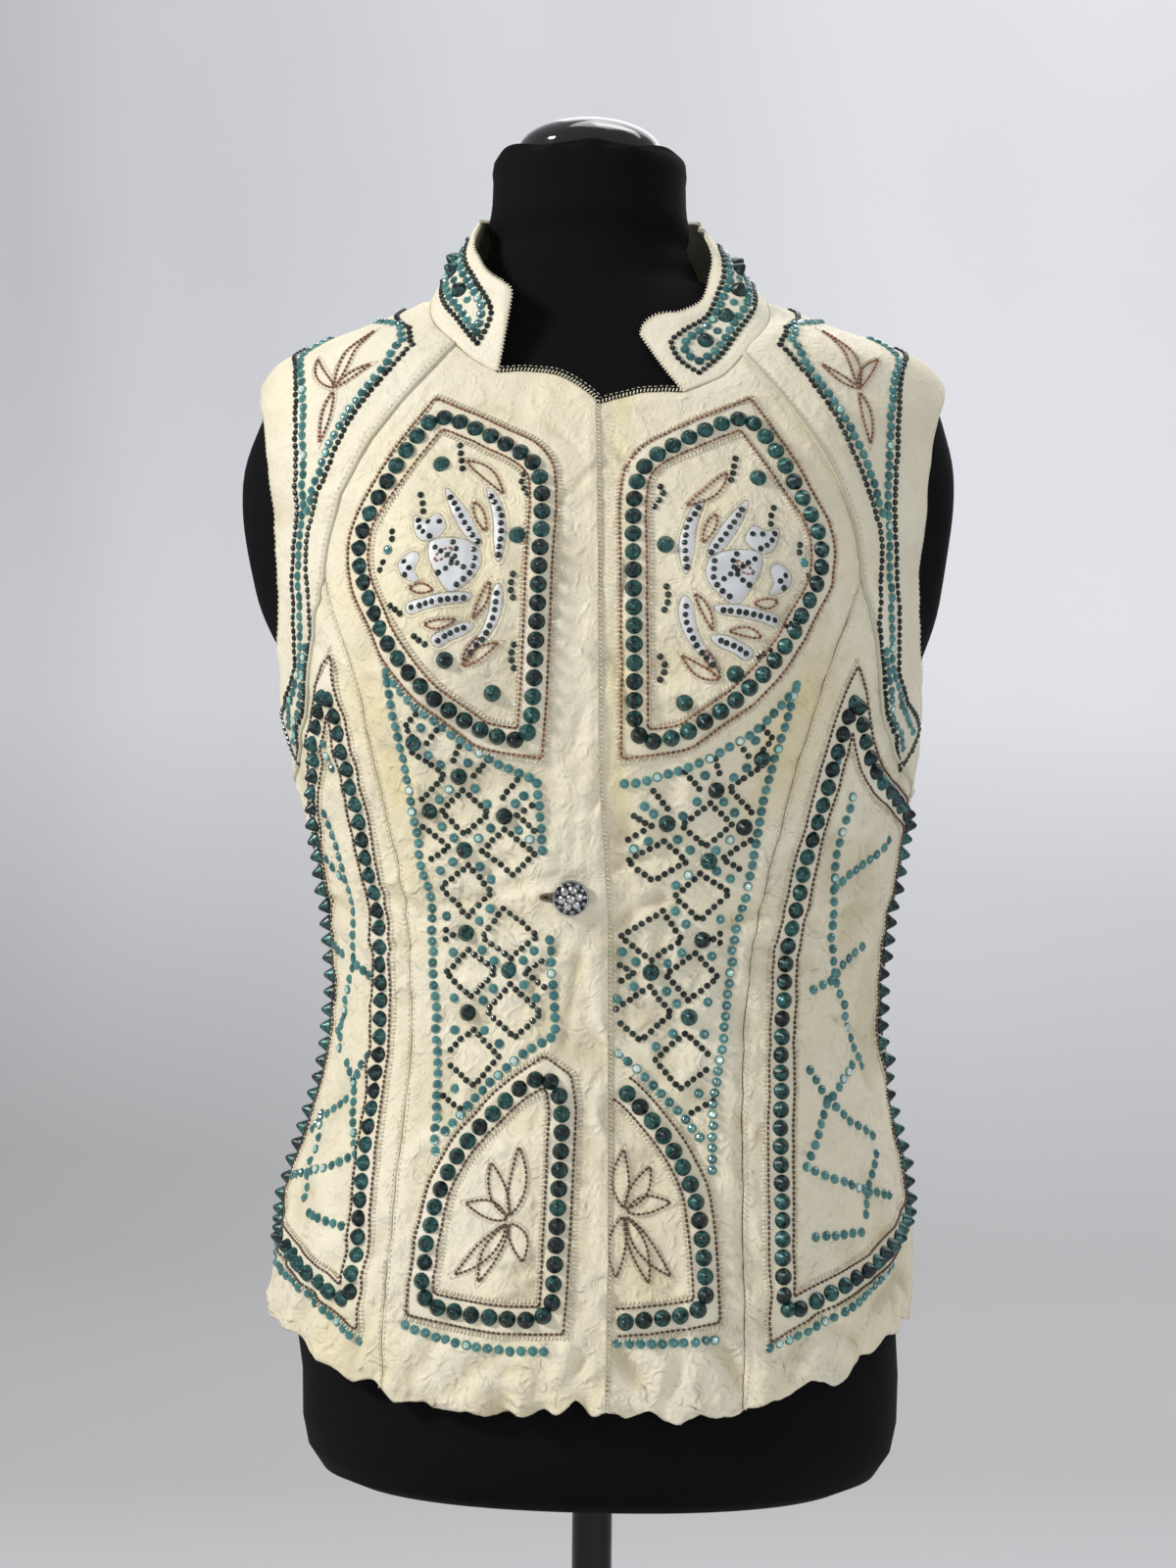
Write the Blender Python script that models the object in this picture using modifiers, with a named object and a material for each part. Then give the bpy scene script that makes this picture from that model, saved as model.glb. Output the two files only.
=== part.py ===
"""A sleeveless leather vest in a european folk style, shown on a limbless dress form.

Metres, +Z up. The front faces -Y, and +X is on the right of someone who looks at the
front. The origin is the middle of the stand's underside. Right and left in a name are the
wearer's, so a right piece lies at -X.

The vest is cut from flat panels that meet at a piped seam round each armhole and at a
princess seam below it. Every panel is a wall on one surface, which is a stack of rounded
sections. A place on that surface is given by its turn, in degrees from the centre front
and positive towards +X, and by its height.
"""
import bpy
import bmesh
import numpy as np
from math import ceil, cos, pi, radians, sin
from mathutils import Matrix, Vector
from mathutils.geometry import delaunay_2d_cdt

NAME = "studded_folk_vest_on_dress_form"

# Driving sizes of the vest
WALL = 0.0016
SEAM_GAP = 0.0003
OVERLAP_LIFT = 0.0028
OVERLAP_UNDER = 11.0
OVERLAP_FADE = (13.0, 25.0)
SEAM_STEP = 0.019
NECK_STEP = 0.013
HEM_STEP = 0.0088
OUTER_STEP = 0.0215
INNER_STEP = 0.034
SHOULDER_STEP = 0.0170
HEM_BANDS = ((0.018, 0.0100), (0.040, 0.0140))
PLAN_RADIUS = 0.140

# Sections through the outside of the vest. The two half widths are the wearer's right, at
# -X, and left, at +X: the vest hangs a little to one side.
TORSO_COLUMNS = ("height", "right_half", "left_half", "front_depth", "back_depth")
TORSO = (
    (0.245, 0.1775, 0.1710, 0.131, 0.131),
    (0.290, 0.1770, 0.1715, 0.130, 0.130),
    (0.330, 0.1735, 0.1725, 0.126, 0.126),
    (0.365, 0.1665, 0.1700, 0.120, 0.118),
    (0.395, 0.1570, 0.1645, 0.114, 0.108),
    (0.425, 0.1485, 0.1585, 0.108, 0.098),
    (0.462, 0.1440, 0.1535, 0.103, 0.089),
    (0.500, 0.1455, 0.1550, 0.102, 0.086),
    (0.532, 0.1505, 0.1610, 0.104, 0.090),
    (0.565, 0.1595, 0.1675, 0.108, 0.096),
    (0.600, 0.1700, 0.1730, 0.112, 0.102),
    (0.640, 0.1765, 0.1765, 0.115, 0.108),
    (0.690, 0.1800, 0.1790, 0.113, 0.112),
    (0.740, 0.1875, 0.1850, 0.103, 0.110),
    (0.783, 0.1915, 0.1885, 0.088, 0.100),
    (0.800, 0.1895, 0.1865, 0.080, 0.093),
    (0.813, 0.1810, 0.1780, 0.074, 0.087),
    (0.8235, 0.1600, 0.1570, 0.069, 0.082),
    (0.834, 0.1320, 0.1270, 0.065, 0.077),
    (0.844, 0.1070, 0.1010, 0.061, 0.071),
    (0.854, 0.0850, 0.0785, 0.057, 0.064),
    (0.864, 0.0660, 0.0600, 0.053, 0.057),
)
SQUARENESS = 2.25
BUST = {"x": 0.078, "z": 0.655, "rise": 0.014, "across": 0.048, "above": 0.085, "below": 0.060}

# Long soft folds: turn, middle height, half spread in turn, half spread in height, depth
FOLDS = (
    (-74.0, 0.335, 8.0, 0.050, 0.0022),
    (-52.0, 0.325, 8.0, 0.045, -0.0016),
    (-20.0, 0.500, 9.0, 0.030, -0.0012),
    (24.0, 0.515, 8.0, 0.035, 0.0013),
    (56.0, 0.330, 8.0, 0.050, 0.0018),
    (79.0, 0.345, 9.0, 0.055, -0.0020),
    (104.0, 0.330, 10.0, 0.060, 0.0026),
    (131.0, 0.345, 9.0, 0.055, -0.0024),
    (158.0, 0.335, 10.0, 0.060, 0.0026),
    (193.0, 0.345, 10.0, 0.060, 0.0024),
    (222.0, 0.335, 9.0, 0.055, -0.0022),
    (250.0, 0.335, 10.0, 0.060, 0.0026),
)

# The front hangs a little turned below the bust: height and degrees towards -X
TWIST_COLUMNS = ("height", "degrees")
TWIST = ((0.300, 3.3), (0.380, 3.1), (0.450, 2.7), (0.520, 1.8), (0.640, 0.0))
TWIST_FADE = (60.0, 86.0)

# Edges and seams of the cut, as turns from the vest's own centre front
EDGE_COLUMNS = ("turn", "height")
HEM = (
    (0.0, 0.2680), (12.0, 0.2640), (29.0, 0.2620), (43.0, 0.2710), (58.0, 0.2810),
    (69.0, 0.2940), (82.0, 0.2980), (95.0, 0.2950), (120.0, 0.2830), (150.0, 0.2740),
    (180.0, 0.2720),
)
HEM_WAVES = {"reach": 0.020, "out": 0.0034, "down": 0.0034}
PIPED_SEAM = (
    (53.5, 0.781), (58.0, 0.745), (60.2, 0.715), (60.8, 0.693), (63.2, 0.675),
    (65.3, 0.650), (68.0, 0.624), (72.5, 0.605), (80.5, 0.591), (90.0, 0.580),
)
PRINCESS_SEAM = (
    (60.8, 0.693), (57.6, 0.672), (53.4, 0.648), (50.8, 0.626), (49.8, 0.600),
    (49.2, 0.570), (48.1, 0.540), (46.5, 0.500), (44.9, 0.455), (42.6, 0.405),
    (39.9, 0.340), (39.1, 0.262),
)
PLACKET_EDGE = (
    (1.6, 0.7846), (2.9, 0.737), (3.5, 0.686), (4.0, 0.635), (4.4, 0.585), (6.0, 0.545),
    (7.2, 0.504), (7.5, 0.433), (7.4, 0.360), (6.9, 0.262),
)
RIGHT_NECKLINE = ((1.6, 0.7846), (-2.0, 0.7890), (-13.0, 0.7984), (-25.0, 0.8020))
LEFT_NECKLINE = ((-11.0, 0.7800), (1.6, 0.7835), (8.8, 0.7870), (19.0, 0.7905))
ARMHOLE_FRONT = (
    (90.0, 0.633), (84.0, 0.646), (79.6, 0.672), (78.0, 0.710), (78.3, 0.750),
    (81.5, 0.782), (90.0, 0.803),
)
ARMHOLE_BACK = (
    (90.0, 0.803), (101.0, 0.784), (106.5, 0.750), (107.5, 0.710), (104.0, 0.672),
    (97.0, 0.646), (90.0, 0.633),
)
SHOULDER_TIP, UNDERARM, PIPED_SIDE = 0.803, 0.633, 0.580
PIPED_TOP_TURN = 48.5
BACK_SEAM_TURN = 131.0
BACK_SEAM_TOP = ((129.0, 0.825), (126.0, 0.785))

# The stand collar, from its left front end round the back to its right one: turn, height
# of its base, and lean towards the neck in degrees. It stands more upright on the right.
COLLAR_COLUMNS = ("turn", "base", "lean")
COLLAR = (
    (29.5, 0.7910, 27.0),
    (41.0, 0.8000, 32.0),
    (52.0, 0.8190, 37.0),
    (72.0, 0.8450, 42.0),
    (90.0, 0.8510, 42.0),
    (110.0, 0.8530, 32.0),
    (140.0, 0.8530, 16.0),
    (180.0, 0.8530, 8.0),
    (220.0, 0.8530, 13.0),
    (250.0, 0.8530, 25.0),
    (270.0, 0.8510, 31.0),
    (288.0, 0.8460, 31.0),
    (308.0, 0.8235, 24.0),
    (319.0, 0.8090, 17.0),
    (327.0, 0.8015, 12.0),
)
COLLAR_HEIGHT = 0.049
COLLAR_RADIUS = 0.085
COLLAR_CORNERS = {"left": 0.014, "right": 0.006}
COLLAR_SLANTS = {"left": 19.0, "right": 3.0}
COLLAR_LIFT = 0.0007
COLLAR_STEP = 0.0135

# Bands of cone studs, the middle line of each band
STUD_PITCH = 0.0096
STUD_RADIUS = 0.0042
STUD_HEIGHT = 0.0056
STUD_SIDES = 6
BAND_HALF = 0.0062
BAND_CLEAR = 0.0007
BAND_THICK = 0.0007
BAND_CORNER = 0.007
CHEST_BAND = (
    (43.8, 0.7785), (29.0, 0.7655), (16.5, 0.7525), (13.2, 0.743), (12.0, 0.720), (12.0, 0.675),
    (12.4, 0.635), (13.3, 0.606), (23.0, 0.609), (32.0, 0.624), (39.5, 0.645), (45.6, 0.668),
    (51.5, 0.696), (52.3, 0.712), (49.0, 0.742), (46.6, 0.762),
)
LOWER_BAND = (
    (7.7, 0.4355), (3.4, 0.4300), (2.0, 0.4150), (2.0, 0.3300), (2.4, 0.3115), (12.0, 0.3110),
    (22.0, 0.3130), (31.8, 0.3165), (31.6, 0.3450), (31.0, 0.3720), (28.0, 0.3920),
    (22.0, 0.4110), (14.5, 0.4265),
)
LOWER_BAND_SHOWN = (
    (13.4, 0.4285), (15.5, 0.4255), (22.0, 0.4110), (28.0, 0.3920), (31.0, 0.3720),
    (31.6, 0.3450), (31.8, 0.3165), (22.0, 0.3130), (12.2, 0.3110),
)
SIDE_BAND_INNER = (
    (52.5, 0.3180), (47.3, 0.3110), (47.6, 0.3420), (50.2, 0.3950), (53.2, 0.4480),
    (54.6, 0.5010), (56.0, 0.5450), (56.7, 0.5850), (57.6, 0.6130), (59.7, 0.6360),
)
SIDE_BAND_LEFT = (
    (61.6, 0.6210), (64.0, 0.6035), (68.5, 0.5890), (75.5, 0.5785), (83.0, 0.5690),
    (87.0, 0.5500), (87.0, 0.5000), (87.0, 0.4400), (87.0, 0.3880), (86.5, 0.3570),
    (70.0, 0.3370),
)
SIDE_BAND_RIGHT = (
    (63.0, 0.6220), (65.5, 0.6060), (68.3, 0.5890), (72.5, 0.5660), (77.0, 0.5400),
    (79.5, 0.5000), (80.5, 0.4500), (81.5, 0.4000), (83.5, 0.3510), (70.0, 0.3370),
)

# The button and its buttonhole
BUTTON = {"turn": -3.6, "height": 0.5265, "radius": 0.0093, "thick": 0.0034, "dome": 0.0022}
BUTTON_SHANK_RADIUS = 0.0011
BUTTON_CLEAR = 0.0006
BUTTONHOLE = {"from": -12.0, "to": -2.6, "half": 0.0016}
BUTTON_STEPS = 18

# The dress form that the vest rests on
FORM_INSET = ((0.262, 0.0100), (0.300, 0.0090), (0.360, 0.0080), (0.450, 0.0085),
              (0.560, 0.0083), (0.640, 0.0055), (0.760, 0.0055), (0.800, 0.0065),
              (0.846, 0.0060))
FORM_LEVELS = (0.315, 0.365, 0.410, 0.455, 0.500, 0.550, 0.595, 0.632, 0.662, 0.690,
               0.722, 0.752, 0.774, 0.791, 0.803, 0.813, 0.823, 0.834, 0.846)
FORM_FOOT = ((0.2050, 0.1160, 0.078), (0.2065, 0.1370, 0.097), (0.2130, 0.1515, 0.110),
             (0.2250, 0.1595, 0.117), (0.2400, 0.1625, 0.1205), (0.2650, 0.1630, 0.1205))
FORM_FOOT_SHIFT = 0.0035
FORM_NECK = ((0.860, 0.0610, 0.0500, 0.0500), (0.874, 0.0560, 0.0490, 0.0480),
             (0.890, 0.0535, 0.0500, 0.0470), (0.908, 0.0530, 0.0520, 0.0460),
             (0.9240, 0.0525, 0.0530, 0.0450), (0.9285, 0.0500, 0.0510, 0.0430))
FORM_NECK_SHIFT = -0.0090
FORM_TURNS = (0, 12, 24, 36, 47, 57, 66, 73, 78, 82, 87, 92.75, 98, 103, 107, 112, 120, 131,
              143, 156, 168, 180)
ARM_PLATE = {"turn": 92.75, "height": 0.718, "across": 10.8, "along": 0.061, "left": 0.0130,
             "right": 0.0190}
CAP_RADIUS = 0.0390
CAP_HEIGHT = 0.0205
CAP_CENTRE = (-0.0090, -0.0040)

# The stand
POLE_RADIUS = 0.011
BASE_RADIUS = 0.160
BASE_EDGE = 0.010
BASE_RISE = 0.016
BOSS_RADIUS = 0.024
BOSS_HEIGHT = 0.052
TURNED_STEPS = 28

# Colours from the photograph, with roughness and metallic value
MATERIALS = {
    "leather_cream": ((0.78, 0.73, 0.60), 0.55, 0.0),
    "stud_patina": ((0.04, 0.16, 0.15), 0.42, 0.6),
    "form_cloth": ((0.012, 0.012, 0.013), 0.90, 0.0),
    "cap_plastic": ((0.015, 0.015, 0.016), 0.12, 0.0),
    "metal_black": ((0.020, 0.020, 0.021), 0.35, 0.8),
    "button_metal": ((0.16, 0.16, 0.16), 0.30, 1.0),
}


def table(rows, columns):
    """A table's columns as arrays, by name."""
    return dict(zip(columns, np.array(rows, dtype=float).T))


def through(at, xs, ys):
    """Monotone cubic curve through the rows of a table, level beyond its ends."""
    at = np.clip(np.asarray(at, dtype=float), xs[0], xs[-1])
    step = np.diff(xs)
    rise = np.diff(ys) / step
    slope = np.zeros(len(xs))
    slope[0], slope[-1] = rise[0], rise[-1]
    for i in range(1, len(xs) - 1):
        if rise[i - 1] * rise[i] > 0:
            before = 2 * step[i] + step[i - 1]
            after = step[i] + 2 * step[i - 1]
            slope[i] = (before + after) / (before / rise[i - 1] + after / rise[i])
    k = np.clip(np.searchsorted(xs, at, side="right") - 1, 0, len(xs) - 2)
    t = (at - xs[k]) / step[k]
    low = (1 + 2 * t) * (1 - t) ** 2 * ys[k] + t * (1 - t) ** 2 * step[k] * slope[k]
    high = t * t * (3 - 2 * t) * ys[k + 1] + t * t * (t - 1) * step[k] * slope[k + 1]
    return low + high


def smooth_step(value, start, end):
    """0 before start and 1 after end, with an even slope at both."""
    t = np.clip((np.asarray(value, dtype=float) - start) / (end - start), 0, 1)
    return t * t * (3 - 2 * t)


def away(turn, centre):
    """Degrees from a centre, the short way round."""
    return (np.asarray(turn, dtype=float) - centre + 180) % 360 - 180


# The surface that the vest is cut from

SECTIONS = table(TORSO, TORSO_COLUMNS)
HEM_LINE = table(HEM, EDGE_COLUMNS)
TWISTS = table(TWIST, TWIST_COLUMNS)


def worn(points):
    """Places on the vest's front, by its own centre front, turned as it hangs."""
    return [(turn - float(through(height, TWISTS["height"], TWISTS["degrees"])
                          * (1 - smooth_step(abs(turn), *TWIST_FADE))), height)
            for turn, height in points]


def section_point(turn, height):
    """A point of the plain surface, before folds, at a turn in degrees and a height."""
    turn, height = np.broadcast_arrays(np.asarray(turn, float), np.asarray(height, float))
    right, left, fore, back = (through(height, SECTIONS["height"], SECTIONS[c])
                               for c in TORSO_COLUMNS[1:])
    s, c = np.sin(np.radians(turn)), np.cos(np.radians(turn))
    wide = np.where(s > 0, left, right)
    deep = np.where(c > 0, fore, back)
    r = ((np.abs(s) / wide) ** SQUARENESS + (np.abs(c) / deep) ** SQUARENESS)
    r = r ** (-1 / SQUARENESS)
    spread = np.where(height > BUST["z"], BUST["above"], BUST["below"])
    bust = np.exp(-((np.abs(r * s) - BUST["x"]) / BUST["across"]) ** 2
                  - ((height - BUST["z"]) / spread) ** 2)
    r = r + np.where(c > 0, BUST["rise"] * bust * np.clip(2 * c, 0, 1), 0)
    return np.stack([r * s, -r * c, height], axis=-1)


def normal(turn, height):
    """The direction out of the plain surface."""
    d_turn, d_height = 0.4, 0.002
    along = section_point(turn + d_turn, height) - section_point(turn - d_turn, height)
    low = np.maximum(height - d_height, TORSO[0][0])
    high = np.minimum(height + d_height, TORSO[-1][0])
    up = section_point(turn, high) - section_point(turn, low)
    out = np.cross(along, up)
    return out / np.linalg.norm(out, axis=-1, keepdims=True)


def hem_middle(turn):
    """Height of the hem without its waves."""
    return through(np.abs(away(turn, 0)), HEM_LINE["turn"], HEM_LINE["height"])


def hem_ripple(turn, phase):
    """Uneven waves round the hem, about forty in all."""
    a = np.radians(turn)
    slow = 0.9 * np.sin(3 * a + phase) + 0.5 * np.sin(5 * a)
    wave = 0.62 * np.sin(38 * a + 1.6 * slow + phase) + 0.38 * np.sin(23 * a + phase * 2)
    return wave * (0.75 + 0.25 * np.sin(7 * a + phase))


def hem_height(turn):
    """Height of the hem's edge, with its waves."""
    return hem_middle(turn) + HEM_WAVES["down"] * hem_ripple(turn, 0.7)


def relief(turn, height):
    """How far the folds and the hem's waves stand out of the plain surface."""
    rise = np.zeros(np.broadcast(turn, height).shape)
    for at, middle, across, along, depth in FOLDS:
        near = (away(turn, at) / across) ** 2 + ((height - middle) / along) ** 2
        rise = rise + depth * np.exp(-near)
    above = np.maximum(height - hem_middle(turn), 0) / HEM_WAVES["reach"]
    return rise + HEM_WAVES["out"] * hem_ripple(turn, 2.1) * np.exp(-above ** 2)


def cloth_point(turn, height, out=0.0):
    """A point of the vest's outside, moved out."""
    turn, height = np.broadcast_arrays(np.asarray(turn, float), np.asarray(height, float))
    out = np.asarray(out) + relief(turn, height)
    return section_point(turn, height) + normal(turn, height) * out[..., None]


def right_overlap(turn, height):
    """How far the right front stands out, where it lies over the left front."""
    return OVERLAP_LIFT * (1 - smooth_step(-np.asarray(turn), *OVERLAP_FADE))


def no_overlap(turn, height):
    return np.zeros(np.shape(turn))


# The same surface laid out flat, for cutting the panels

RISE = np.concatenate([[0.0], np.cumsum(np.hypot(np.diff(SECTIONS["height"]),
                                                 np.diff(SECTIONS["left_half"])))])


def flat(turn, height):
    """The cutting plan: width along the turn and length along the surface."""
    return np.stack([np.radians(turn) * PLAN_RADIUS,
                     np.interp(height, SECTIONS["height"], RISE)], axis=-1)


def unflat(plan):
    return np.degrees(plan[..., 0] / PLAN_RADIUS), np.interp(plan[..., 1], RISE,
                                                             SECTIONS["height"])


def smooth_line(points, per_span=24):
    """A rounded line through points, as a dense list of turn and height."""
    p = np.array(points, dtype=float)
    if len(p) < 3:
        t = np.linspace(0, 1, per_span)[:, None]
        return p[0] * (1 - t) + p[1] * t
    scale = np.array([PLAN_RADIUS * pi / 180, 1.0])
    lengths = np.concatenate([[0.0], np.cumsum(np.linalg.norm(np.diff(p * scale, axis=0),
                                                              axis=1))])
    at = np.concatenate([np.linspace(lengths[i], lengths[i + 1], per_span, endpoint=False)
                         for i in range(len(p) - 1)] + [lengths[-1:]])
    return np.stack([through(at, lengths, p[:, 0]), through(at, lengths, p[:, 1])], axis=-1)


def spaced(line, step, point=cloth_point):
    """Even points along a dense line, both ends kept."""
    where = point(line[:, 0], line[:, 1])
    run = np.concatenate([[0.0], np.cumsum(np.linalg.norm(np.diff(where, axis=0), axis=1))])
    count = max(int(ceil(run[-1] / step)), 1)
    at = np.linspace(0, run[-1], count + 1)
    return np.stack([np.interp(at, run, line[:, 0]), np.interp(at, run, line[:, 1])], axis=-1)


def loop_of(*runs):
    """Runs of points, end to start, as one closed loop with no point twice."""
    points = [p for run in runs for p in run[:-1]]
    return np.array(points)


def inset(loop, gap):
    """A closed loop of plan points moved inwards."""
    edge = np.roll(loop, -1, axis=0) - loop
    inward = np.stack([-edge[:, 1], edge[:, 0]], axis=-1)
    inward /= np.linalg.norm(inward, axis=1, keepdims=True)
    mean = inward + np.roll(inward, 1, axis=0)
    mean /= np.linalg.norm(mean, axis=1, keepdims=True)
    lean = np.maximum(np.sum(mean * inward, axis=1, keepdims=True), 0.5)
    return loop + mean * gap / lean


def inside(points, loop):
    """Which points lie inside a closed loop, and how far they are from it."""
    a, b = loop, np.roll(loop, -1, axis=0)
    x, y = points[:, None, 0], points[:, None, 1]
    crosses = (a[:, 1] > y) != (b[:, 1] > y)
    rise = np.where(b[:, 1] == a[:, 1], 1e-12, b[:, 1] - a[:, 1])
    left = x < (b[:, 0] - a[:, 0]) * (y - a[:, 1]) / rise + a[:, 0]
    within = np.sum(crosses & left, axis=1) % 2 == 1
    edge = b - a
    t = np.sum((points[:, None] - a) * edge, axis=2) / np.sum(edge * edge, axis=1)
    near = a + np.clip(t, 0, 1)[..., None] * edge
    return within, np.min(np.linalg.norm(points[:, None] - near, axis=2), axis=1)


def grid(loop, step):
    """A triangular grid of points well inside a loop."""
    low, high = loop.min(axis=0), loop.max(axis=0)
    rows = np.arange(low[1] + step / 2, high[1], step * sin(pi / 3))
    points = [(x + (k % 2) * step / 2, y) for k, y in enumerate(rows)
              for x in np.arange(low[0], high[0], step)]
    if not points:
        return np.zeros((0, 2))
    points = np.array(points)
    within, room = inside(points, loop)
    return points[within & (room > 0.55 * step)]


def panel_grid(loop, step, bands):
    """Grid points of a panel, closer together in bands above the hem."""
    kept = grid(loop, step)
    below = 0.0
    parts = []
    for top, fine in bands:
        points = grid(loop, fine)
        turn, height = unflat(points)
        above = height - hem_middle(turn)
        parts.append(points[(above < top) & (above >= below)])
        below = top
    turn, height = unflat(kept)
    parts.append(kept[height - hem_middle(turn) >= below])
    return np.concatenate(parts)


def fill(loop, points):
    """Triangles over a closed loop and the points inside it."""
    spots = [Vector(p) for p in np.concatenate([loop, points])]
    count = len(loop)
    edges = [(i, (i + 1) % count) for i in range(count)]
    spots, _, faces, _, _, _ = delaunay_2d_cdt(spots, edges, [], 1, 1e-9)
    spots = np.array([tuple(p) for p in spots])
    turned = []
    for face in faces:
        a, b, c = (spots[i] for i in face)
        area = (b[0] - a[0]) * (c[1] - a[1]) - (b[1] - a[1]) * (c[0] - a[0])
        turned.append(tuple(face) if area > 0 else tuple(reversed(face)))
    return spots, turned


# Objects

def material(name):
    """A plain Principled material with the piece's colour."""
    colour, rough, metal = MATERIALS[name]
    made = bpy.data.materials.get(name) or bpy.data.materials.new(name)
    made.use_nodes = True
    shader = made.node_tree.nodes["Principled BSDF"]
    shader.inputs["Base Color"].default_value = (*colour, 1.0)
    shader.inputs["Roughness"].default_value = rough
    shader.inputs["Metallic"].default_value = metal
    made.diffuse_color = (*colour, 1.0)
    return made


def add_object(name, mesh, finish, collection):
    obj = bpy.data.objects.new(name, mesh)
    obj.data.materials.append(material(finish))
    collection.objects.link(obj)
    return obj


def solid(name, points, faces, finish, collection):
    """One closed object from points and faces, shaded smooth but for its sharp edges."""
    mesh = bpy.data.meshes.new(name)
    mesh.from_pydata([tuple(p) for p in points], [], faces)
    mesh.validate()
    mesh.shade_smooth()
    mesh.set_sharp_from_angle(angle=radians(40))
    return add_object(name, mesh, finish, collection)


def wall(name, loop, outer_grid, inner_grid, outside, within, finish, collection):
    """A closed wall over a loop of plan points; outside and within place its two faces."""
    outer, outer_faces = fill(loop, outer_grid)
    inner, inner_faces = fill(loop, inner_grid)
    count, base = len(loop), len(outer)
    faces = list(outer_faces)
    faces += [tuple(base + i for i in reversed(face)) for face in inner_faces]
    for i in range(count):
        j = (i + 1) % count
        faces += [(i, base + i, base + j), (i, base + j, j)]
    points = np.concatenate([outside(outer), within(inner)])
    return solid(name, points, faces, finish, collection)


def turned(name, profile, steps, finish, collection):
    """A turned piece: a profile of radius and height, top to bottom, and a Screw."""
    mesh = bpy.data.meshes.new(name)
    spots = [(radius, 0.0, height) for radius, height in profile]
    mesh.from_pydata(spots, [(i, i + 1) for i in range(len(spots) - 1)], [])
    obj = add_object(name, mesh, finish, collection)
    screw = obj.modifiers.new("Turned", "SCREW")
    screw.steps = steps
    screw.render_steps = steps
    screw.use_merge_vertices = True
    screw.merge_threshold = 0.00005
    screw.use_smooth_shade = True
    return obj


def cut(obj, cutter):
    """Cuts an object with a hidden cutter."""
    tool = obj.modifiers.new(cutter.name, "BOOLEAN")
    tool.operation = "DIFFERENCE"
    tool.solver = "EXACT"
    tool.object = cutter


# Panels of the vest

def mirrored(points):
    """The same places on the other side of the vest."""
    return [(-turn, height) for turn, height in points]


def to_back(points):
    """The same places at the back of the vest."""
    return [(180 - turn, height) for turn, height in points]


COLLAR_ROWS = table(COLLAR, COLLAR_COLUMNS)


def collar_base(turn):
    """Height at which the collar joins the vest."""
    return through(np.asarray(turn) % 360, COLLAR_ROWS["turn"], COLLAR_ROWS["base"])


def collar_line(start, end):
    """The collar's seam between two turns."""
    turns = np.linspace(start, end, 60)
    return np.stack([turns, collar_base(turns)], axis=-1)


def hem_line(start, end):
    turns = np.linspace(start, end, 400)
    return np.stack([turns, hem_height(turns)], axis=-1)


def down_to_hem(points):
    """A seam's points, with the last one moved onto the hem."""
    turn = points[-1][0]
    return list(points[:-1]) + [(turn, float(hem_height(turn)))]


def seams(side):
    """The front seams and the armhole on one side: 1 for the left, at +X, and -1."""
    def flip(points):
        return worn(mirrored(points) if side < 0 else points)

    top = (PIPED_TOP_TURN * side, float(collar_base(PIPED_TOP_TURN * side)))
    split = PIPED_SEAM.index(PRINCESS_SEAM[0])
    return {
        "piped_upper": spaced(smooth_line([top] + flip(PIPED_SEAM[:split + 1])), SEAM_STEP),
        "piped_lower": spaced(smooth_line(flip(PIPED_SEAM[split:])), SEAM_STEP),
        "princess": spaced(smooth_line(down_to_hem(flip(PRINCESS_SEAM))), SEAM_STEP),
        "armhole": spaced(smooth_line(flip(ARMHOLE_FRONT)), SEAM_STEP),
        "arm_back": spaced(smooth_line(flip(ARMHOLE_BACK)), SEAM_STEP),
        "shoulder": spaced(smooth_line([(90.0 * side, SHOULDER_TIP),
                                        (90.0 * side, float(collar_base(90.0)))]), SEAM_STEP),
        "side_upper": spaced(smooth_line([(90.0 * side, PIPED_SIDE),
                                          (90.0 * side, UNDERARM)]), SEAM_STEP),
        "side_lower": spaced(smooth_line([(90.0 * side, float(hem_height(90.0 * side))),
                                          (90.0 * side, PIPED_SIDE)]), SEAM_STEP),
    }


def back_seams(side):
    """The back seams on one side, which repeat the front ones."""
    flip = mirrored if side < 0 else list
    top = (BACK_SEAM_TURN * side, float(collar_base(BACK_SEAM_TURN)))
    split = PIPED_SEAM.index(PRINCESS_SEAM[0])
    upper = flip(list(BACK_SEAM_TOP) + to_back(PIPED_SEAM[1:split + 1]))
    return {
        "piped_upper": spaced(smooth_line([top] + upper), SEAM_STEP),
        "piped_lower": spaced(smooth_line(flip(to_back(PIPED_SEAM[split:]))), SEAM_STEP),
        "princess": spaced(smooth_line(down_to_hem(flip(to_back(PRINCESS_SEAM)))), SEAM_STEP),
    }


def panel(name, runs, side, collection, lift=no_overlap, steps=(OUTER_STEP, INNER_STEP)):
    """One panel of the vest. Its runs go round it anticlockwise on the left side."""
    loop = loop_of(*runs)
    if side < 0:
        loop = loop[::-1]
    plan = inset(flat(loop[:, 0], loop[:, 1]), SEAM_GAP / 2)

    def place(points, out):
        turn, height = unflat(points)
        return cloth_point(turn, height, lift(turn, height) + out)

    return wall(name, plan, panel_grid(plan, steps[0], HEM_BANDS),
                panel_grid(plan, steps[1], HEM_BANDS[:1]),
                lambda points: place(points, 0.0), lambda points: place(points, -WALL),
                "leather_cream", collection)


def reverse(run):
    return run[::-1]


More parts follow.
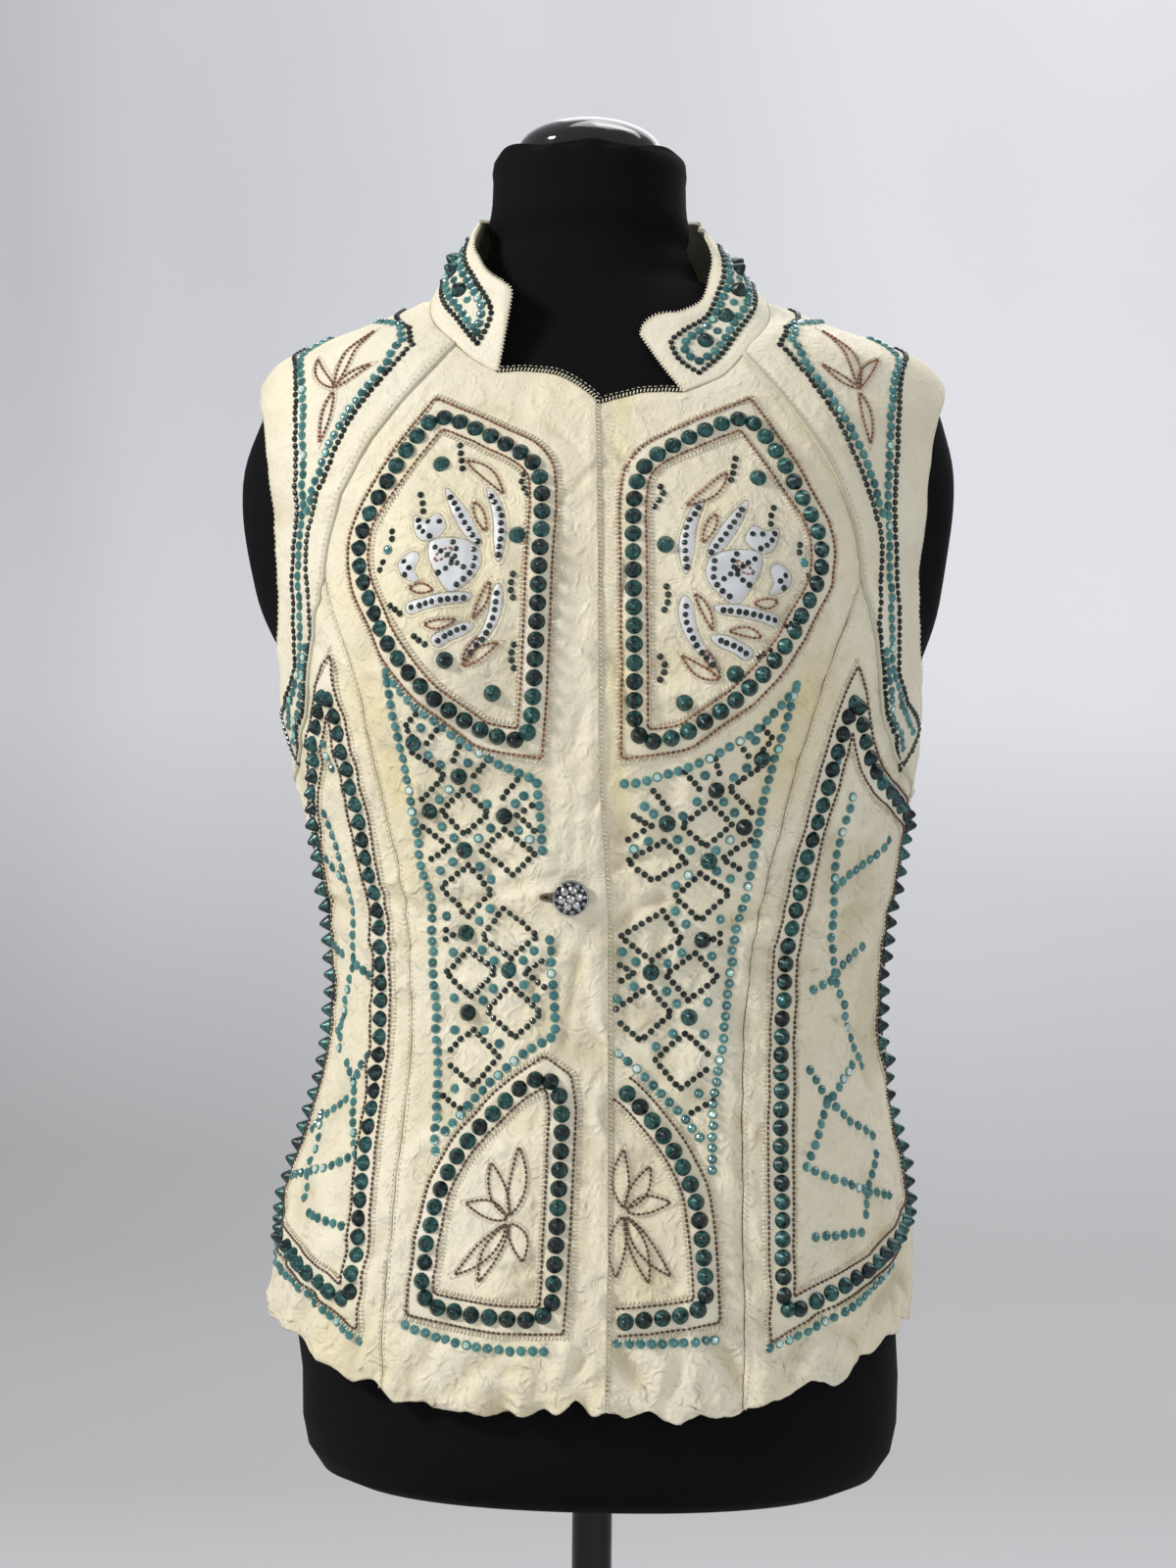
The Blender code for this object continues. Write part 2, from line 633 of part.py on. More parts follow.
def make_fronts(left, right, collection):
    """The two fronts. The right one laps over the left one and takes the buttonhole."""
    left_collar = spaced(collar_line(PIPED_TOP_TURN, COLLAR[0][0]), NECK_STEP)
    corner = tuple(left_collar[-1])
    neckline = spaced(smooth_line([corner] + list(reverse(LEFT_NECKLINE))), NECK_STEP)
    under_top, under_foot = LEFT_NECKLINE[0], (-OVERLAP_UNDER, float(hem_height(-OVERLAP_UNDER)))
    panel("left_front", [
        spaced(hem_line(under_foot[0], left["princess"][-1][0]), HEM_STEP),
        reverse(left["princess"]), reverse(left["piped_upper"]), left_collar, neckline,
        spaced(smooth_line([under_top, under_foot]), SEAM_STEP),
    ], 1, collection)

    right_collar = spaced(collar_line(-PIPED_TOP_TURN, COLLAR[-1][0] - 360), NECK_STEP)
    corner = tuple(right_collar[-1])
    neckline = spaced(smooth_line([corner] + list(reverse(RIGHT_NECKLINE))), NECK_STEP)
    placket = spaced(smooth_line(down_to_hem(PLACKET_EDGE)), SEAM_STEP)
    front = panel("right_front", [
        spaced(hem_line(placket[-1][0], right["princess"][-1][0]), HEM_STEP),
        reverse(right["princess"]), reverse(right["piped_upper"]), right_collar, neckline,
        placket,
    ], -1, collection, right_overlap, (OUTER_STEP, OUTER_STEP))
    return front


def make_sides(seam, back, side, word, collection):
    """The side panels and the pieces round one armhole, at the front and at the back."""
    edge = seam["princess"][-1][0]
    panel(word + "_side_front", [
        spaced(hem_line(edge, 90.0 * side), HEM_STEP),
        seam["side_lower"], reverse(seam["piped_lower"]), seam["princess"],
    ], side, collection)
    panel(word + "_side_back", [
        spaced(hem_line(90.0 * side, back["princess"][-1][0]), HEM_STEP),
        reverse(back["princess"]), back["piped_lower"], reverse(seam["side_lower"]),
    ], side, collection)
    panel(word + "_shoulder_front", [
        seam["side_upper"], seam["armhole"], seam["shoulder"],
        spaced(collar_line(90.0 * side, PIPED_TOP_TURN * side), NECK_STEP),
        seam["piped_upper"], seam["piped_lower"],
    ], side, collection, steps=(SHOULDER_STEP, SHOULDER_STEP))
    panel(word + "_shoulder_back", [
        reverse(back["piped_lower"]), reverse(back["piped_upper"]),
        spaced(collar_line(BACK_SEAM_TURN * side, 90.0 * side), NECK_STEP),
        reverse(seam["shoulder"]), seam["arm_back"], reverse(seam["side_upper"]),
    ], side, collection, steps=(SHOULDER_STEP, SHOULDER_STEP))


def make_back(left, right, collection):
    """The back panel, in one piece between its two seams."""
    whole_turn = np.array([360.0, 0.0])
    edge = 180 - PRINCESS_SEAM[-1][0]
    panel("back", [
        spaced(hem_line(edge, 360 - edge), HEM_STEP),
        reverse(right["princess"]) + whole_turn, reverse(right["piped_upper"]) + whole_turn,
        spaced(collar_line(360 - BACK_SEAM_TURN, BACK_SEAM_TURN), NECK_STEP),
        left["piped_upper"], left["princess"],
    ], 1, collection)


# The collar

def collar_point(turn, up, out=0.0):
    """A point of the collar's outside, at a turn and a distance up its slope."""
    turn, up = np.broadcast_arrays(np.asarray(turn, float), np.asarray(up, float))
    base = section_point(turn, collar_base(turn))
    step = 0.5
    along = (section_point(turn + step, collar_base(turn + step))
             - section_point(turn - step, collar_base(turn - step)))
    along[..., 2] = 0
    along /= np.linalg.norm(along, axis=-1, keepdims=True)
    away_from_neck = np.stack([along[..., 1], -along[..., 0], np.zeros(turn.shape)], axis=-1)
    lean = np.radians(through(turn, COLLAR_ROWS["turn"], COLLAR_ROWS["lean"]))[..., None]
    upward = np.array([0.0, 0.0, 1.0])
    slope = upward * np.cos(lean) - away_from_neck * np.sin(lean)
    face = away_from_neck * np.cos(lean) + upward * np.sin(lean)
    return base + slope * (up[..., None] + COLLAR_LIFT) + face * out


def collar_end(side, corner, slant):
    """One front end of the collar, from its base to its top: turn and distance up."""
    first = COLLAR[0][0] if side > 0 else COLLAR[-1][0]
    per_metre = 180 / pi / COLLAR_RADIUS
    level = COLLAR_HEIGHT - corner
    up = np.linspace(0, level, 20)
    edge = np.stack([first - side * slant * up / COLLAR_HEIGHT, up], axis=-1)
    arc = np.linspace(0, pi / 2, 5)
    tip = edge[-1][0] + side * corner * per_metre * (1 - np.cos(arc))
    return edge, np.stack([tip, level + corner * np.sin(arc)], axis=-1)


def make_collar(collection):
    """The stand collar, open at the front, with rounded upper corners."""
    def along(line):
        return spaced(line, COLLAR_STEP, collar_point)

    near, near_tip = collar_end(1, COLLAR_CORNERS["left"], COLLAR_SLANTS["left"])
    far, far_tip = collar_end(-1, COLLAR_CORNERS["right"], COLLAR_SLANTS["right"])
    turns = np.linspace(near[0][0], far[0][0], 120)
    base = along(np.stack([turns, np.zeros(120)], axis=-1))
    turns = np.linspace(far_tip[-1][0], near_tip[-1][0], 120)
    top = along(np.stack([turns, np.full(120, COLLAR_HEIGHT)], axis=-1))
    loop = loop_of(base, along(far), far_tip, top, reverse(near_tip), along(reverse(near)))
    scale = np.array([COLLAR_RADIUS * pi / 180, 1.0])
    plan = loop * scale

    def place(points, out):
        spots = points / scale
        return collar_point(spots[:, 0], spots[:, 1], out)

    wall("collar", plan, grid(plan, COLLAR_STEP * 1.25), grid(plan, COLLAR_STEP * 1.8),
         lambda points: place(points, 0.0), lambda points: place(points, -WALL),
         "leather_cream", collection)


# Bands of studs

def moved(turn, height, along, across):
    """Turn and height of a place moved over the surface by distances along two ways."""
    d_turn, d_height = 0.3, 0.001
    by_turn = (cloth_point(turn + d_turn, height) - cloth_point(turn - d_turn, height))
    by_height = (cloth_point(turn, height + d_height) - cloth_point(turn, height - d_height))
    ways = np.stack([by_turn / (2 * d_turn), by_height / (2 * d_height)], axis=-1)
    shift = np.einsum("nij,nj->ni", np.linalg.pinv(ways), along + across)
    return turn + shift[:, 0], height + shift[:, 1]


def rounded(line, closed):
    """A dense line with its corners rounded off."""
    where = cloth_point(line[:, 0], line[:, 1])
    run = np.concatenate([[0.0], np.cumsum(np.linalg.norm(np.diff(where, axis=0), axis=1))])
    reach = np.linspace(-BAND_CORNER, BAND_CORNER, 9)
    at = run[:, None] + reach
    at = at % run[-1] if closed else np.clip(at, 0, run[-1])
    if not closed:
        hold = np.minimum(run, run[-1] - run)[:, None] / BAND_CORNER
        at = run[:, None] + reach * np.clip(hold, 0, 1)
    return np.stack([np.interp(at, run, line[:, 0]).mean(axis=1),
                     np.interp(at, run, line[:, 1]).mean(axis=1)], axis=-1)


def ring_faces(outer, inner):
    """Triangles between two loops of indices, both anticlockwise and with even spacing."""
    faces = []
    i = j = 0
    while i < len(outer) or j < len(inner):
        a, b = outer[i % len(outer)], inner[j % len(inner)]
        if j == len(inner) or (i < len(outer) and (i + 0.5) * len(inner) <= (j + 0.5) * len(outer)):
            faces.append((a, outer[(i + 1) % len(outer)], b))
            i += 1
        else:
            faces.append((a, inner[(j + 1) % len(inner)], b))
            j += 1
    return faces


def stud_band(name, path, closed, lift, collection):
    """A leather band with a row of cone studs, lying on a panel."""
    points = list(path) + ([path[0]] if closed else [])
    line = np.array(points, dtype=float)
    dense = np.concatenate([np.linspace(line[i], line[i + 1], 30, endpoint=False)
                            for i in range(len(line) - 1)] + [line[-1:]])
    dense = rounded(dense, closed)
    studs = spaced(dense, STUD_PITCH)
    count = len(studs) - 1
    edges = studs[:-1] if closed else studs
    middles = (studs[:-1] + studs[1:]) / 2

    def frame(at):
        """Unit ways along and across the band at the places on its middle line."""
        place = cloth_point(at[:, 0], at[:, 1])
        ahead = np.roll(place, -1, axis=0) - np.roll(place, 1, axis=0)
        if not closed:
            ahead[0], ahead[-1] = place[1] - place[0], place[-1] - place[-2]
        out = normal(at[:, 0], at[:, 1])
        ahead -= out * np.sum(ahead * out, axis=1, keepdims=True)
        ahead /= np.linalg.norm(ahead, axis=1, keepdims=True)
        return ahead, np.cross(out, ahead)

    def raised(turn, height, out):
        return cloth_point(turn, height, lift(turn, height) + BAND_CLEAR + out)

    spots = []
    ahead, left = frame(edges)
    for out in (BAND_THICK, 0.0):
        for way in (BAND_HALF, -BAND_HALF):
            spots.append(raised(*moved(edges[:, 0], edges[:, 1], 0 * ahead, left * way), out))
    rows = len(edges)
    ahead, left = frame(middles)
    for k in range(STUD_SIDES):
        a = 2 * pi * (k + 0.5) / STUD_SIDES
        turn, height = moved(middles[:, 0], middles[:, 1], ahead * STUD_RADIUS * cos(a),
                             left * STUD_RADIUS * sin(a))
        spots.append(raised(turn, height, BAND_THICK))
    spots.append(raised(middles[:, 0], middles[:, 1], BAND_THICK + STUD_HEIGHT))
    top_left, top_right, low_left, low_right = (k * rows for k in range(4))
    rim, tip = 4 * rows, 4 * rows + STUD_SIDES * count
    faces = []
    for i in range(count):
        j = (i + 1) % rows
        cell = [top_left + j, top_left + i, top_right + i, top_right + j]
        ring = [rim + k * count + i for k in range(STUD_SIDES)]
        faces += ring_faces(cell, ring)
        faces += [(ring[k], ring[(k + 1) % STUD_SIDES], tip + i) for k in range(STUD_SIDES)]
        faces += [(low_left + i, low_left + j, low_right + j),
                  (low_left + i, low_right + j, low_right + i)]
        faces += [(top_left + i, top_left + j, low_left + j),
                  (top_left + i, low_left + j, low_left + i)]
        faces += [(top_right + j, top_right + i, low_right + i),
                  (top_right + j, low_right + i, low_right + j)]
    if not closed:
        end = rows - 1
        faces += [(top_left, low_left, low_right), (top_left, low_right, top_right)]
        faces += [(top_right + end, low_right + end, low_left + end),
                  (top_right + end, low_left + end, top_left + end)]
    return solid(name, np.concatenate(spots), faces, "stud_patina", collection)


def make_bands(collection):
    """The studded frames: two on each front, and one on each side."""
    stud_band("left_chest_frame", worn(CHEST_BAND), True, no_overlap, collection)
    stud_band("right_chest_frame", worn(reverse(mirrored(CHEST_BAND))), True, right_overlap,
              collection)
    stud_band("left_lower_frame", worn(LOWER_BAND_SHOWN), False, no_overlap, collection)
    stud_band("right_lower_frame", worn(mirrored(LOWER_BAND)), True, right_overlap, collection)
    left_side = SIDE_BAND_INNER + SIDE_BAND_LEFT
    right_side = SIDE_BAND_INNER + SIDE_BAND_RIGHT
    stud_band("left_side_frame", worn(left_side), True, no_overlap, collection)
    stud_band("right_side_frame", worn(reverse(mirrored(right_side))), True, no_overlap,
              collection)


# The button

def make_button(front, collection, cutters):
    """The shank button, which passes through a slit in the right front."""
    turn, height = BUTTON["turn"], BUTTON["height"]
    seat = Vector(cloth_point(turn, height, OVERLAP_LIFT))
    out = Vector(normal(turn, height))
    way = out.to_track_quat("Z", "Y").to_matrix().to_4x4()
    radius, thick, clear = BUTTON["radius"], BUTTON["thick"], BUTTON_CLEAR
    arc = np.linspace(0, pi / 2, 5)
    dome = [(radius * sin(a), clear + thick + BUTTON["dome"] * cos(a)) for a in arc]
    profile = dome + [(radius, clear + thick * 0.4), (radius * 0.86, clear),
                      (BUTTON_SHANK_RADIUS, clear),
                      (BUTTON_SHANK_RADIUS, SEAM_GAP - OVERLAP_LIFT),
                      (0.0, SEAM_GAP - OVERLAP_LIFT)]
    button = turned("front_button", profile, BUTTON_STEPS, "button_metal", collection)
    button.matrix_world = Matrix.Translation(seat) @ way

    start = Vector(cloth_point(BUTTONHOLE["from"], height, OVERLAP_LIFT))
    end = Vector(cloth_point(BUTTONHOLE["to"], height, OVERLAP_LIFT))
    bpy.ops.mesh.primitive_cube_add(size=1.0, location=(start + end) / 2)
    cutter = bpy.context.object
    cutter.name = "buttonhole_cutter"
    cutter.scale = ((end - start).length, 4 * WALL + 0.002, 2 * BUTTONHOLE["half"])
    for owner in list(cutter.users_collection):
        owner.objects.unlink(cutter)
    cutters.objects.link(cutter)
    cutter.rotation_euler = (end - start).to_track_quat("X", "Z").to_euler()
    cutter.hide_render = True
    cutter.display_type = "WIRE"
    cut(front, cutter)


# The dress form and its stand

def form_ring(turns, height):
    """A ring of the form, inside the vest, with a low arm plate in each armhole."""
    gaps = np.array(FORM_INSET)
    clear = np.interp(height, gaps[:, 0], gaps[:, 1])
    across = (np.abs(away(turns, 0)) - ARM_PLATE["turn"]) / ARM_PLATE["across"]
    along = (height - ARM_PLATE["height"]) / ARM_PLATE["along"]
    plate = np.exp(-(across ** 2 + along ** 2) ** 2)
    level = np.full(len(turns), height)
    out = np.where(away(turns, 0) > 0, ARM_PLATE["left"], ARM_PLATE["right"]) * plate - clear
    points = section_point(turns, level) + normal(turns, level) * out[:, None]
    return points


def oval_ring(turns, shift, height, wide, fore, back):
    """A plain oval ring of the form's foot or neck, moved along X."""
    s, c = np.sin(np.radians(turns)), np.cos(np.radians(turns))
    deep = np.where(c > 0, fore, back)
    r = ((np.abs(s) / wide) ** SQUARENESS + (np.abs(c) / deep) ** SQUARENESS)
    r = r ** (-1 / SQUARENESS)
    return np.stack([r * s + shift, -r * c, np.full(len(turns), height)], axis=-1)


def make_form(collection):
    """The cloth-covered form: a closed stack of rings from its foot to its neck."""
    turns = np.array(FORM_TURNS + tuple(360 - t for t in reversed(FORM_TURNS[1:-1])))
    rings = [oval_ring(turns, FORM_FOOT_SHIFT, z, wide, deep, deep)
             for z, wide, deep in FORM_FOOT]
    rings += [form_ring(turns, z) for z in FORM_LEVELS]
    rings += [oval_ring(turns, FORM_NECK_SHIFT, *row) for row in FORM_NECK]
    mesh = bmesh.new()
    loops = [[mesh.verts.new(p) for p in ring] for ring in rings]
    for low, high in zip(loops, loops[1:]):
        for i in range(len(turns)):
            j = (i + 1) % len(turns)
            mesh.faces.new((low[i], low[j], high[j], high[i]))
    mesh.faces.new(list(reversed(loops[0])))
    mesh.faces.new(loops[-1])
    data = bpy.data.meshes.new("form_torso")
    mesh.to_mesh(data)
    mesh.free()
    data.shade_smooth()
    data.set_sharp_from_angle(angle=radians(40))
    add_object("form_torso", data, "form_cloth", collection)


def make_stand(collection):
    """The neck cap, the pole and the round foot."""
    neck_top, foot = FORM_NECK[-1][0], FORM_FOOT[0][0]
    arc = np.linspace(0, pi / 2, 7)
    seat = neck_top + SEAM_GAP
    dome = [(CAP_RADIUS * sin(a), seat + CAP_HEIGHT * (0.15 + 0.85 * cos(a))) for a in arc]
    cap = turned("form_neck_cap", dome + [(CAP_RADIUS, seat), (0.0, seat)], TURNED_STEPS,
                 "cap_plastic", collection)
    cap.location = (*CAP_CENTRE, 0.0)

    low, high = BOSS_HEIGHT + SEAM_GAP, foot - SEAM_GAP
    bpy.ops.mesh.primitive_cylinder_add(vertices=TURNED_STEPS, radius=POLE_RADIUS,
                                        depth=high - low, location=(0, 0, (low + high) / 2))
    pole = bpy.context.object
    pole.name = "stand_pole"
    pole.data.materials.append(material("metal_black"))
    for owner in list(pole.users_collection):
        owner.objects.unlink(pole)
    collection.objects.link(pole)

    profile = [(0.0, BOSS_HEIGHT), (BOSS_RADIUS - 0.002, BOSS_HEIGHT),
               (BOSS_RADIUS, BOSS_HEIGHT - 0.002), (BOSS_RADIUS, BASE_RISE + 0.004),
               (BOSS_RADIUS + 0.006, BASE_RISE), (BASE_RADIUS - 0.006, BASE_EDGE),
               (BASE_RADIUS, BASE_EDGE - 0.003), (BASE_RADIUS, 0.002), (BASE_RADIUS - 0.002, 0.0),
               (0.0, 0.0)]
    turned("stand_base", profile, TURNED_STEPS, "metal_black", collection)


def main():
    for obj in list(bpy.data.objects):
        bpy.data.objects.remove(obj)
    parts = bpy.data.collections.new(NAME)
    cutters = bpy.data.collections.new("cutters")
    bpy.context.scene.collection.children.link(parts)
    bpy.context.scene.collection.children.link(cutters)
    left, right = seams(1), seams(-1)
    left_back, right_back = back_seams(1), back_seams(-1)
    front = make_fronts(left, right, parts)
    make_sides(left, left_back, 1, "left", parts)
    make_sides(right, right_back, -1, "right", parts)
    make_back(left_back, right_back, parts)
    make_collar(parts)
    make_bands(parts)
    make_button(front, parts, cutters)
    make_form(parts)
    make_stand(parts)
    for data in [m for m in bpy.data.meshes if not m.users]:
        bpy.data.meshes.remove(data)


main()
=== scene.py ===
"""The looks of the studded vest on its dress form. Metres, +Z up, the front faces -Y."""
import bpy
import numpy as np
from math import ceil, cos, pi, radians, sin
from mathutils import Matrix, Vector
from mathutils.geometry import delaunay_2d_cdt
from mathutils.kdtree import KDTree


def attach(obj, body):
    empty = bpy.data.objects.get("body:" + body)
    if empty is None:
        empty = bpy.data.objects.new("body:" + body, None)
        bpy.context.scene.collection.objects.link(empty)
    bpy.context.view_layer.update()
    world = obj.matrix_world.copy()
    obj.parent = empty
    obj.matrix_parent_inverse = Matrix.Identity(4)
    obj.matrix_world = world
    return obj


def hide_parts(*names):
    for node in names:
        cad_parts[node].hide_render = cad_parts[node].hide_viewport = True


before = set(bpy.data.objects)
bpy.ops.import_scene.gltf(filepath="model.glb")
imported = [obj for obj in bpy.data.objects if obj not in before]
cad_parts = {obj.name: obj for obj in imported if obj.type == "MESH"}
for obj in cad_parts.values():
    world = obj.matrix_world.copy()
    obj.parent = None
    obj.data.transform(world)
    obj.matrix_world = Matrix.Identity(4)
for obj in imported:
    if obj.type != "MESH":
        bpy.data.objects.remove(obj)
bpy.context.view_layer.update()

# The camera first: nearly level, a little to the viewer's left of the front
AZIMUTH, DISTANCE, EYE_HEIGHT, ROLL = 4.0, 1.725, 0.585, 0.6
camera = bpy.data.objects.new("camera", bpy.data.cameras.new("camera"))
bpy.context.scene.collection.objects.link(camera)
camera.matrix_world = (
    Matrix.Translation((DISTANCE * sin(radians(AZIMUTH)), -DISTANCE * cos(radians(AZIMUTH)),
                        EYE_HEIGHT))
    @ Matrix.Rotation(radians(AZIMUTH), 4, "Z") @ Matrix.Rotation(radians(90), 4, "X")
    @ Matrix.Rotation(radians(ROLL), 4, "Z"))
camera.data.lens = 72
camera.data.sensor_width = 36
camera.data.shift_x = -12 / 1600
camera.data.clip_start = 0.01
bpy.context.scene.camera = camera

# The vest's own sizes, repeated from its solids, with finer steps
WALL = 0.0014
SEAM_GAP = 0.0003
OVERLAP_LIFT = 0.0028
OVERLAP_UNDER = 11.0
OVERLAP_FADE = (13.0, 25.0)
SEAM_STEP = 0.0030
NECK_STEP = 0.0026
HEM_STEP = 0.0022
FRONT_STEP = 0.0033
BACK_STEP = 0.0042
PLAN_RADIUS = 0.140

# Sections through the outside of the vest. The two half widths are the wearer's right, at
# -X, and left, at +X: the vest hangs a little to one side.
TORSO_COLUMNS = ("height", "right_half", "left_half", "front_depth", "back_depth")
TORSO = (
    (0.245, 0.1775, 0.1710, 0.131, 0.131),
    (0.290, 0.1770, 0.1715, 0.130, 0.130),
    (0.330, 0.1735, 0.1725, 0.126, 0.126),
    (0.365, 0.1665, 0.1700, 0.120, 0.118),
    (0.395, 0.1570, 0.1645, 0.114, 0.108),
    (0.425, 0.1485, 0.1585, 0.108, 0.098),
    (0.462, 0.1440, 0.1535, 0.103, 0.089),
    (0.500, 0.1455, 0.1550, 0.102, 0.086),
    (0.532, 0.1505, 0.1610, 0.104, 0.090),
    (0.565, 0.1595, 0.1675, 0.108, 0.096),
    (0.600, 0.1700, 0.1730, 0.112, 0.102),
    (0.640, 0.1765, 0.1765, 0.115, 0.108),
    (0.690, 0.1800, 0.1790, 0.113, 0.112),
    (0.740, 0.1875, 0.1850, 0.103, 0.110),
    (0.783, 0.1915, 0.1885, 0.088, 0.100),
    (0.800, 0.1895, 0.1865, 0.080, 0.093),
    (0.813, 0.1810, 0.1780, 0.074, 0.087),
    (0.8235, 0.1600, 0.1570, 0.069, 0.082),
    (0.834, 0.1320, 0.1270, 0.065, 0.077),
    (0.844, 0.1070, 0.1010, 0.061, 0.071),
    (0.854, 0.0850, 0.0785, 0.057, 0.064),
    (0.864, 0.0660, 0.0600, 0.053, 0.057),
)
SQUARENESS = 2.25
BUST = {"x": 0.078, "z": 0.655, "rise": 0.014, "across": 0.048, "above": 0.085, "below": 0.060}

# Long soft folds: turn, middle height, half spread in turn, half spread in height, depth
FOLDS = (
    (-74.0, 0.335, 8.0, 0.050, 0.0022),
    (-52.0, 0.325, 8.0, 0.045, -0.0016),
    (-20.0, 0.500, 9.0, 0.030, -0.0012),
    (24.0, 0.515, 8.0, 0.035, 0.0013),
    (56.0, 0.330, 8.0, 0.050, 0.0018),
    (79.0, 0.345, 9.0, 0.055, -0.0020),
    (104.0, 0.330, 10.0, 0.060, 0.0026),
    (131.0, 0.345, 9.0, 0.055, -0.0024),
    (158.0, 0.335, 10.0, 0.060, 0.0026),
    (193.0, 0.345, 10.0, 0.060, 0.0024),
    (222.0, 0.335, 9.0, 0.055, -0.0022),
    (250.0, 0.335, 10.0, 0.060, 0.0026),
)

# The front hangs a little turned below the bust: height and degrees towards -X
TWIST_COLUMNS = ("height", "degrees")
TWIST = ((0.300, 3.3), (0.380, 3.1), (0.450, 2.7), (0.520, 1.8), (0.640, 0.0))
TWIST_FADE = (60.0, 86.0)

# Edges and seams of the cut, as turns from the vest's own centre front
EDGE_COLUMNS = ("turn", "height")
HEM = (
    (0.0, 0.2680), (12.0, 0.2640), (29.0, 0.2620), (43.0, 0.2710), (58.0, 0.2810),
    (69.0, 0.2940), (82.0, 0.2980), (95.0, 0.2950), (120.0, 0.2830), (150.0, 0.2740),
    (180.0, 0.2720),
)
HEM_WAVES = {"reach": 0.020, "out": 0.0034, "down": 0.0034}
PIPED_SEAM = (
    (53.5, 0.781), (58.0, 0.745), (60.2, 0.715), (60.8, 0.693), (63.2, 0.675),
    (65.3, 0.650), (68.0, 0.624), (72.5, 0.605), (80.5, 0.591), (90.0, 0.580),
)
PRINCESS_SEAM = (
    (60.8, 0.693), (57.6, 0.672), (53.4, 0.648), (50.8, 0.626), (49.8, 0.600),
    (49.2, 0.570), (48.1, 0.540), (46.5, 0.500), (44.9, 0.455), (42.6, 0.405),
    (39.9, 0.340), (39.1, 0.262),
)
PLACKET_EDGE = (
    (1.6, 0.7846), (2.9, 0.737), (3.5, 0.686), (4.0, 0.635), (4.4, 0.585), (6.0, 0.545),
    (7.2, 0.504), (7.5, 0.433), (7.4, 0.360), (6.9, 0.262),
)
RIGHT_NECKLINE = ((1.6, 0.7846), (-2.0, 0.7890), (-13.0, 0.7984), (-25.0, 0.8020))
LEFT_NECKLINE = ((-11.0, 0.7800), (1.6, 0.7835), (8.8, 0.7870), (19.0, 0.7905))
ARMHOLE_FRONT = (
    (90.0, 0.633), (84.0, 0.646), (79.6, 0.672), (78.0, 0.710), (78.3, 0.750),
    (81.5, 0.782), (90.0, 0.803),
)
ARMHOLE_BACK = (
    (90.0, 0.803), (101.0, 0.784), (106.5, 0.750), (107.5, 0.710), (104.0, 0.672),
    (97.0, 0.646), (90.0, 0.633),
)
SHOULDER_TIP, UNDERARM, PIPED_SIDE = 0.803, 0.633, 0.580
PIPED_TOP_TURN = 48.5
BACK_SEAM_TURN = 131.0
BACK_SEAM_TOP = ((129.0, 0.825), (126.0, 0.785))

# The stand collar, from its left front end round the back to its right one: turn, height
# of its base, and lean towards the neck in degrees. It stands more upright on the right.
COLLAR_COLUMNS = ("turn", "base", "lean")
COLLAR = (
    (29.5, 0.7910, 27.0),
    (41.0, 0.8000, 32.0),
    (52.0, 0.8190, 37.0),
    (72.0, 0.8450, 42.0),
    (90.0, 0.8510, 42.0),
    (110.0, 0.8530, 32.0),
    (140.0, 0.8530, 16.0),
    (180.0, 0.8530, 8.0),
    (220.0, 0.8530, 13.0),
    (250.0, 0.8530, 25.0),
    (270.0, 0.8510, 31.0),
    (288.0, 0.8460, 31.0),
    (308.0, 0.8235, 24.0),
    (319.0, 0.8090, 17.0),
    (327.0, 0.8015, 12.0),
)
COLLAR_HEIGHT = 0.049
COLLAR_RADIUS = 0.085
COLLAR_CORNERS = {"left": 0.014, "right": 0.006}
COLLAR_SLANTS = {"left": 19.0, "right": 3.0}
COLLAR_LIFT = 0.0007

# Bands of cone studs, the middle line of each band
STUD_PITCH = 0.0096
BAND_CORNER = 0.007
CHEST_BAND = (
    (43.8, 0.7785), (29.0, 0.7655), (16.5, 0.7525), (13.2, 0.743), (12.0, 0.720), (12.0, 0.675),
    (12.4, 0.635), (13.3, 0.606), (23.0, 0.609), (32.0, 0.624), (39.5, 0.645), (45.6, 0.668),
    (51.5, 0.696), (52.3, 0.712), (49.0, 0.742), (46.6, 0.762),
)
LOWER_BAND = (
    (7.7, 0.4355), (3.4, 0.4300), (2.0, 0.4150), (2.0, 0.3300), (2.4, 0.3115), (12.0, 0.3110),
    (22.0, 0.3130), (31.8, 0.3165), (31.6, 0.3450), (31.0, 0.3720), (28.0, 0.3920),
    (22.0, 0.4110), (14.5, 0.4265),
)
LOWER_BAND_SHOWN = (
    (13.4, 0.4285), (15.5, 0.4255), (22.0, 0.4110), (28.0, 0.3920), (31.0, 0.3720),
    (31.6, 0.3450), (31.8, 0.3165), (22.0, 0.3130), (12.2, 0.3110),
)
SIDE_BAND_INNER = (
    (52.5, 0.3180), (47.3, 0.3110), (47.6, 0.3420), (50.2, 0.3950), (53.2, 0.4480),
    (54.6, 0.5010), (56.0, 0.5450), (56.7, 0.5850), (57.6, 0.6130), (59.7, 0.6360),
)
SIDE_BAND_LEFT = (
    (61.6, 0.6210), (64.0, 0.6035), (68.5, 0.5890), (75.5, 0.5785), (83.0, 0.5690),
    (87.0, 0.5500), (87.0, 0.5000), (87.0, 0.4400), (87.0, 0.3880), (86.5, 0.3570),
    (70.0, 0.3370),
)
SIDE_BAND_RIGHT = (
    (63.0, 0.6220), (65.5, 0.6060), (68.3, 0.5890), (72.5, 0.5660), (77.0, 0.5400),
    (79.5, 0.5000), (80.5, 0.4500), (81.5, 0.4000), (83.5, 0.3510), (70.0, 0.3370),
)

